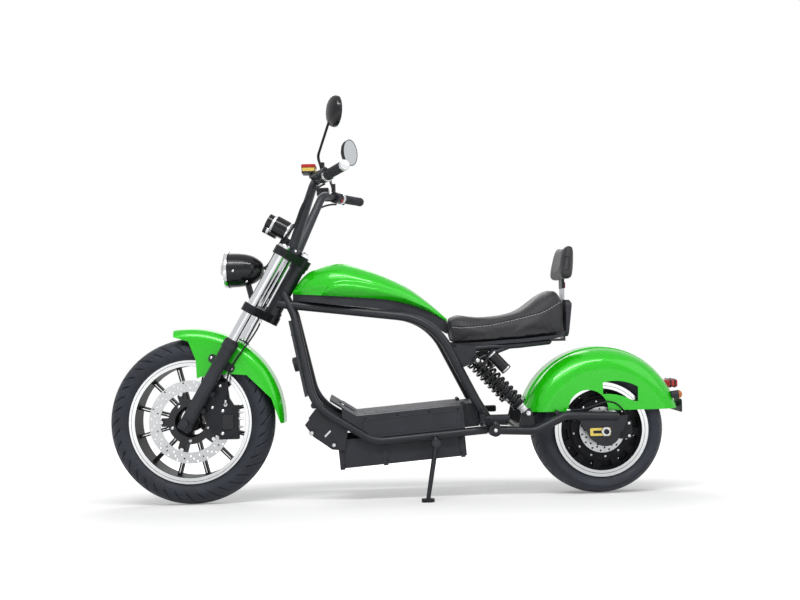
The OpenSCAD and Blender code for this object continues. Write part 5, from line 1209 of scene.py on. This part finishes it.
class SCOOTER_OT_shocks(bpy.types.Operator):
    """Round springs in place of the plain ones, bright lower ends and rings"""
    bl_idname = "scooter.shocks"
    bl_label = "Shock absorbers"

    def execute(self, context):
        share = np.linspace(0, 1, COIL_TURNS * 30 + 1)
        angle = 2 * math.pi * COIL_TURNS * share
        coil = np.stack([COIL_R * np.cos(angle), COIL_R * np.sin(angle), COIL_START + COIL_LENGTH * share], 1)
        springs = both_sides(lambda side: tube(shock(side)(coil), WIRE_R, 12))
        made = piece("spring_coils", springs, "gloss_black", "frame")
        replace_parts(made, "shock_springs")
        lower = [(0, 7), (11, 7), (12.8, 11), (13.2, 29), (15.6, 32), (15.6, 38), (0, 38.2)]
        ends = both_sides(lambda side: spun(lower, 28, shock(side), (0, 0, 0), UP))
        piece("shock_ends", ends, "bright_steel", "frame", MACHINED)
        ring = [(18.6, 0), (19.7, 1), (19.7, 5), (18.6, 6), (18.6, 0)]
        rings = [spun(np.add(ring, (0, h)), 36, shock(side), (-50.0, 0, 0), UP) for side in (1, -1)
                 for h in (158.0, 228.0)]
        piece("reservoir_rings", joined(rings), "bright_steel", "frame", MACHINED)
        return {"FINISHED"}


class SCOOTER_OT_deck(bpy.types.Operator):
    """Mat, pull and lock of the deck lid, side beads and screws of the deck"""
    bl_idname = "scooter.deck"
    bl_label = "Deck fittings"

    def execute(self, context):
        mat = level_plate(rounded(160.0, 92.0, 14.0), 92.0, 95.6, 1.2, deck, -132.0)
        piece("deck_mat_panel", mat, "deck_mat", "deck_lid", MACHINED)
        plate = level_plate(rounded(29.0, 17.0, 5.0), -3.9, -0.6, 0.8, lid_nose, 37.0)
        pull = piece("lid_pull", plate, "gloss_black", "deck_lid", MACHINED)
        fasteners("lid_lock", pull, [((54.0, 0.0, 40.0), DOWN)], lid_nose, 6.0, "deck_lid", "chrome", steps=20)
        outline = rounded(172.0, 26.0, 12.0)
        beads = both_sides(lambda side: hoop(deck(upright(outline, -138.0, side * 126.0, 52.0)), 0.0016))
        piece("deck_beads", beads, "grained_black", "frame")
        for name, under, spots in (
                ("deck_screws", "deck_case", [(x, 85.0) for x in (-300.0, -200.0, -90.0, 20.0)]),
                ("case_screws", "battery_case", [(110.0, -70.0), (110.0, -24.0), (-40.0, -70.0),
                                                 (-300.0, -70.0), (-300.0, -24.0)])):
            fasteners(name, under, sideways(spots), deck, 4.0, "frame", "black_alloy")
        return {"FINISHED"}


class SCOOTER_OT_frame(bpy.types.Operator):
    """Bolts of the frame and swingarm, axle nuts, adjusters, arm plugs and the horn's grille"""
    bl_idname = "scooter.frame"
    bl_label = "Frame fittings"

    def execute(self, context):
        body = "frame"
        fasteners("pivot_bolts", "swingarm", sideways([(-336.0, 248.0)]), leaned, 7.0, body)
        fasteners("bracket_bolts", "cross_members", sideways([(293.9, 252.3), (218.9, 208.7)]), leaned, 7.0, body,
                  shape=CAP_HEAD)
        slots = [plate_on(NODES["cross_members"], line, leaned, rounded(3.2, 15.0, 3.0), 1.2, (0.7, 0, 0.7),
                          (-0.7, 0, 0.7)) for line in sideways([(240.0, 247.0)], 200.0)]
        piece("bracket_slots", joined(slots), "bright_steel", body, MACHINED)
        fasteners("shock_top_bolts", "seat_frame", sideways([(-280.0, 489.0)]), leaned, 7.5, body)
        fasteners("shock_foot_nuts", "swingarm", sideways([(-450.0, 305.0)]), leaned, 9.0, body,
                  shape=HEX_NUT, steps=6)
        nut = [(9.2, 155.4), (17.5, 155.4), (17.5, 163.5), (15.8, 165.2), (9.2, 165.2), (9.2, 155.4)]
        piece("axle_nuts", spun_pair(nut, 6, leaned, REAR_AXLE, LEFT), "bright_steel", body, MACHINED)
        for name, half_x, half_z, low, high, finish in (
                ("axle_adjusters", 36.0, 13.5, 152.2, 155.4, "gold_cap"),
                ("adjuster_slots", 25.0, 5.0, 155.2, 155.9, "black_alloy")):
            outline = rounded(half_x, half_z, half_z * 0.3)
            plates = both_sides(lambda side: side_plate(outline, low, high, 0.6, leaned, -700.0, 232.0, side))
            piece(name, plates, finish, body, MACHINED)
        plug = [(0, -3), (14.4, -3), (15.6, 0), (15.6, 3), (13.5, 5.5), (0, 6.2)]
        plugs = spun_pair(plug, 28, leaned, (-757.0, 147.0, 284.0), (-175, 0, -7))
        piece("arm_plugs", plugs, "smooth_rubber", body)
        panel, ahead = NODES["neck_panel"], 700.0
        lines = [((ahead, y, z), BACK) for y, z in ((-78, 398), (78, 398), (-48, 590), (48, 590))]
        fasteners("panel_screws", panel, lines, leaned, 4.5, body, "black_alloy")
        centre = seat_on(panel, (ahead, 0.0, 480.0), BACK, leaned)[0]
        out = leaned((0.952, 0, -0.306)) - leaned((0, 0, 0))
        rings = [hoop(centre + r * MM * ring_round(out), 0.0011) for r in (6.0, 11.0, 16.0, 21.0)]
        piece("horn_grille", joined(rings), "bright_steel", body)
        return {"FINISHED"}


class SCOOTER_OT_tail(bpy.types.Operator):
    """Amber lenses of the rear indicators and the tail lamp's surround"""
    bl_idname = "scooter.tail"
    bl_label = "Tail fittings"

    def execute(self, context):
        angle = np.linspace(0, math.pi / 2, 9)
        dome = np.concatenate([np.stack([15.5 * np.sin(angle), 15 - 15.5 * np.cos(angle)], 1), [(0, 15.2)]])
        lenses = spun_pair(dome, 28, leaned, (-1009.5, 92.0, 349.0), FORWARD)
        piece("indicator_lenses", lenses, "amber_lens", "frame")
        ring = rounded(34.5, 13.5, 7.0)
        surround = [hoop(leaned(np.stack([np.full(len(ring), x), ring[:, 0], 383 + ring[:, 1]], 1)), 0.0026)
                    for x in (-990.0, -1006.0)]
        piece("tail_surround", joined(surround), "gloss_black", "frame")
        return {"FINISHED"}


class SCOOTER_OT_pegs(bpy.types.Operator):
    """Ribbed rubbers of the passenger pegs"""
    bl_idname = "scooter.pegs"
    bl_label = "Passenger pegs"

    def execute(self, context):
        along = np.linspace(25, 88, 90)
        ribs = np.stack([11.4 + 1.3 * np.abs(np.sin(math.pi * (along - 25) / 7)) ** 0.6, along], 1)
        sleeve = np.concatenate([[(0, 24)], ribs, [(0, 90)]])
        for side, name in ((1, "peg_left"), (-1, "peg_right")):
            rubber = spun(sleeve, 28, leaned, (-292.0, side * 168.0, 291.0), BACK)
            piece(f"{name}_rubber", rubber, "grip_rubber", name)
        return {"FINISHED"}


class SCOOTER_OT_finishes(bpy.types.Operator):
    """Finishes on all the solids"""
    bl_idname = "scooter.finishes"
    bl_label = "Finishes"

    def execute(self, context):
        make_finishes(look())
        for name, obj in NODES.items():
            obj.data.materials.clear()
            obj.data.materials.append(FINISHES[NODE_FINISH.get(name, "satin_black")])
        return {"FINISHED"}


# Stage

# Name, place, what it looks at, width and height, and power of each lamp
LAMPS = (
    ("key", (1.2, 4.2, 4.6), (0, 0, 0.5), (3.4, 3.4), 95.0),
    ("strip", (0.1, 2.6, 3.1), (0, 0, 0.7), (3.4, 0.4), 78.0),
    ("fill", (-3.6, 2.6, 2.6), (0, 0, 0.5), (3.0, 3.0), 38.0),
    ("rim", (0.4, -3.6, 3.8), (0, 0, 0.5), (3.2, 3.2), 80.0))
# The world's even light, and the floor's half width and shade
SOFT_LIGHT, FLOOR_HALF, FLOOR_SHADE = 0.27, 9.0, 0.78
# Distances over which the floor's glow grows, and its strength by the scooter
GLOW_NEAR, GLOW_FAR, GLOW_LOW = 0.9, 2.8, 0.24
# Camera on the upright machine: turns in radians, place in millimetres, focal length and image width in pixels
VIEW_YAW, VIEW_PITCH, VIEW_ROLL = -0.0409, 0.0168, -0.0234
VIEW_PLACE = (114.0, 3400.0, 648.0)
VIEW_FOCAL, VIEW_WIDTH, SENSOR = 947.5, 800.0, 36.0


def seen_directly(tree):
    """One for camera, glossy and transmitted rays, as a socket."""
    path = tree.nodes.new("ShaderNodeLightPath").outputs
    value = path["Is Camera Ray"]
    for key in ("Is Glossy Ray", "Is Transmission Ray"):
        either = tree.nodes.new("ShaderNodeMath")
        either.operation = "MAXIMUM"
        tree.links.new(value, either.inputs[0])
        tree.links.new(path[key], either.inputs[1])
        value = either.outputs[0]
    return value


def studio_world(scene):
    """White to what sees it directly, and soft even light to the rest."""
    world = bpy.data.worlds.new("studio")
    scene.world = world
    world.use_nodes = True
    tree = world.node_tree
    soft = tree.nodes["Background"]
    soft.inputs["Color"].default_value = (0.93, 0.94, 0.95, 1)
    soft.inputs["Strength"].default_value = SOFT_LIGHT
    white = tree.nodes.new("ShaderNodeBackground")
    white.inputs["Color"].default_value = (1, 1, 1, 1)
    mix = tree.nodes.new("ShaderNodeMixShader")
    tree.links.new(seen_directly(tree), mix.inputs[0])
    tree.links.new(soft.outputs[0], mix.inputs[1])
    tree.links.new(white.outputs[0], mix.inputs[2])
    tree.links.new(mix.outputs[0], tree.nodes["World Output"].inputs["Surface"])


def studio_floor(scene):
    """Pale floor: seen directly it adds a white glow that grows to full white away from the scooter.

    From below it is clear.
    """
    mesh = bpy.data.meshes.new("floor")
    corners = np.array([(-1, -1, 0), (1, -1, 0), (1, 1, 0), (-1, 1, 0)]) * FLOOR_HALF
    mesh.from_pydata(corners.tolist(), [], [(0, 1, 2, 3)])
    floor = bpy.data.objects.new("floor", mesh)
    scene.collection.objects.link(floor)
    cover = Finish("studio_floor", (0.8, 0.8, 0.8), 0.9)
    tree = cover.tree
    away = cover.vector("LENGTH", i0=cover.coords)["Value"]
    plain = cover.node("ShaderNodeBsdfDiffuse", None, Color=(0.8, 0.8, 0.8, 1)).outputs[0]
    shade = cover.node("ShaderNodeBsdfDiffuse", None, Color=(*[FLOOR_SHADE] * 3, 1)).outputs[0]
    strength = cover.spread(away, GLOW_NEAR, GLOW_FAR, GLOW_LOW, 1.0)
    glow = cover.node("ShaderNodeEmission", None, Color=(1, 1, 1, 1), Strength=strength).outputs[0]
    lit = cover.node("ShaderNodeAddShader", None, i0=shade, i1=glow).outputs[0]
    mix = cover.node("ShaderNodeMixShader", None, i0=seen_directly(tree), i1=plain, i2=lit).outputs[0]
    under = cover.node("ShaderNodeNewGeometry").outputs["Backfacing"]
    clear = cover.node("ShaderNodeBsdfTransparent").outputs[0]
    mix = cover.node("ShaderNodeMixShader", None, i0=under, i1=mix, i2=clear).outputs[0]
    tree.links.new(mix, tree.nodes["Material Output"].inputs["Surface"])
    tree.nodes.remove(cover.shader)
    mesh.materials.append(cover.material)


def studio_lamps(scene):
    """Oblong lamps, each turned towards what it looks at."""
    for name, place, aim, size, power in LAMPS:
        light = bpy.data.lights.new(name, "AREA")
        light.shape = "RECTANGLE"
        light.size, light.size_y = size
        light.energy = power
        lamp = bpy.data.objects.new(name, light)
        lamp.location = place
        lamp.rotation_euler = (Vector(aim) - Vector(place)).to_track_quat("-Z", "Y").to_euler()
        scene.collection.objects.link(lamp)


def camera_axes():
    """Viewing directions fitted to the photograph on the upright machine, carried over to the leaning one."""
    flat = math.cos(VIEW_PITCH)
    forward = np.array([math.sin(VIEW_YAW) * flat, -math.cos(VIEW_YAW) * flat, math.sin(VIEW_PITCH)])
    right = np.array([-math.cos(VIEW_YAW), -math.sin(VIEW_YAW), 0.0])
    up = np.cross(right, forward)
    c, s = math.cos(VIEW_ROLL), math.sin(VIEW_ROLL)
    right, up = c * right + s * up, -s * right + c * up
    return LEAN @ right, LEAN @ up, -(LEAN @ forward), leaned(VIEW_PLACE)


def photo_camera(scene):
    """The photograph's camera, its lens worked out from the focal length in pixels."""
    data = bpy.data.cameras.new("photo_camera")
    data.sensor_width = SENSOR
    data.lens = VIEW_FOCAL / VIEW_WIDTH * SENSOR
    camera = bpy.data.objects.new("photo_camera", data)
    view = np.eye(4)
    view[:3] = np.stack(camera_axes(), 1)
    camera.matrix_world = Matrix(view.tolist())
    scene.collection.objects.link(camera)
    scene.camera = camera


class SCOOTER_OT_stage(bpy.types.Operator):
    """Floor, soft light and the photograph's camera"""
    bl_idname = "scooter.stage"
    bl_label = "Stage"

    def execute(self, context):
        scene = context.scene
        scene.view_settings.view_transform = "Standard"
        studio_world(scene)
        studio_floor(scene)
        studio_lamps(scene)
        photo_camera(scene)
        return {"FINISHED"}


class SCOOTER_PT_panel(bpy.types.Panel):
    """Sizes, colours and pieces of the scooter"""
    bl_label = "Scooter"
    bl_idname = "SCOOTER_PT_panel"
    bl_space_type = "VIEW_3D"
    bl_region_type = "UI"
    bl_category = "Scooter"

    def draw(self, context):
        for group in (context.scene.scooter_look, context.scene.scooter_sizes):
            for key in group.__annotations__:
                self.layout.prop(group, key)
        for operator in OPERATORS:
            self.layout.operator(operator.bl_idname)


OPERATORS = (
    SCOOTER_OT_stage, SCOOTER_OT_finishes, SCOOTER_OT_tyres, SCOOTER_OT_tank, SCOOTER_OT_seat,
    SCOOTER_OT_backrest, SCOOTER_OT_front_wheel, SCOOTER_OT_rear_wheel, SCOOTER_OT_fork, SCOOTER_OT_calipers,
    SCOOTER_OT_headlamp, SCOOTER_OT_gauges, SCOOTER_OT_bars, SCOOTER_OT_hoses, SCOOTER_OT_shocks,
    SCOOTER_OT_deck, SCOOTER_OT_frame, SCOOTER_OT_tail, SCOOTER_OT_pegs)
CLASSES = (ScooterLook, ScooterSizes) + OPERATORS + (SCOOTER_PT_panel,)


def register():
    """Registers the classes and puts the settings on the scene."""
    for cls in CLASSES:
        bpy.utils.register_class(cls)
    bpy.types.Scene.scooter_look = PointerProperty(type=ScooterLook)
    bpy.types.Scene.scooter_sizes = PointerProperty(type=ScooterSizes)


def unregister():
    """Takes the settings off the scene and the classes out again."""
    del bpy.types.Scene.scooter_look
    del bpy.types.Scene.scooter_sizes
    for cls in reversed(CLASSES):
        bpy.utils.unregister_class(cls)


def main():
    """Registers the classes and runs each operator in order."""
    register()
    for operator in OPERATORS:
        group, name = operator.bl_idname.split(".")
        getattr(getattr(bpy.ops, group), name)()


if __name__ == "__main__":
    main()
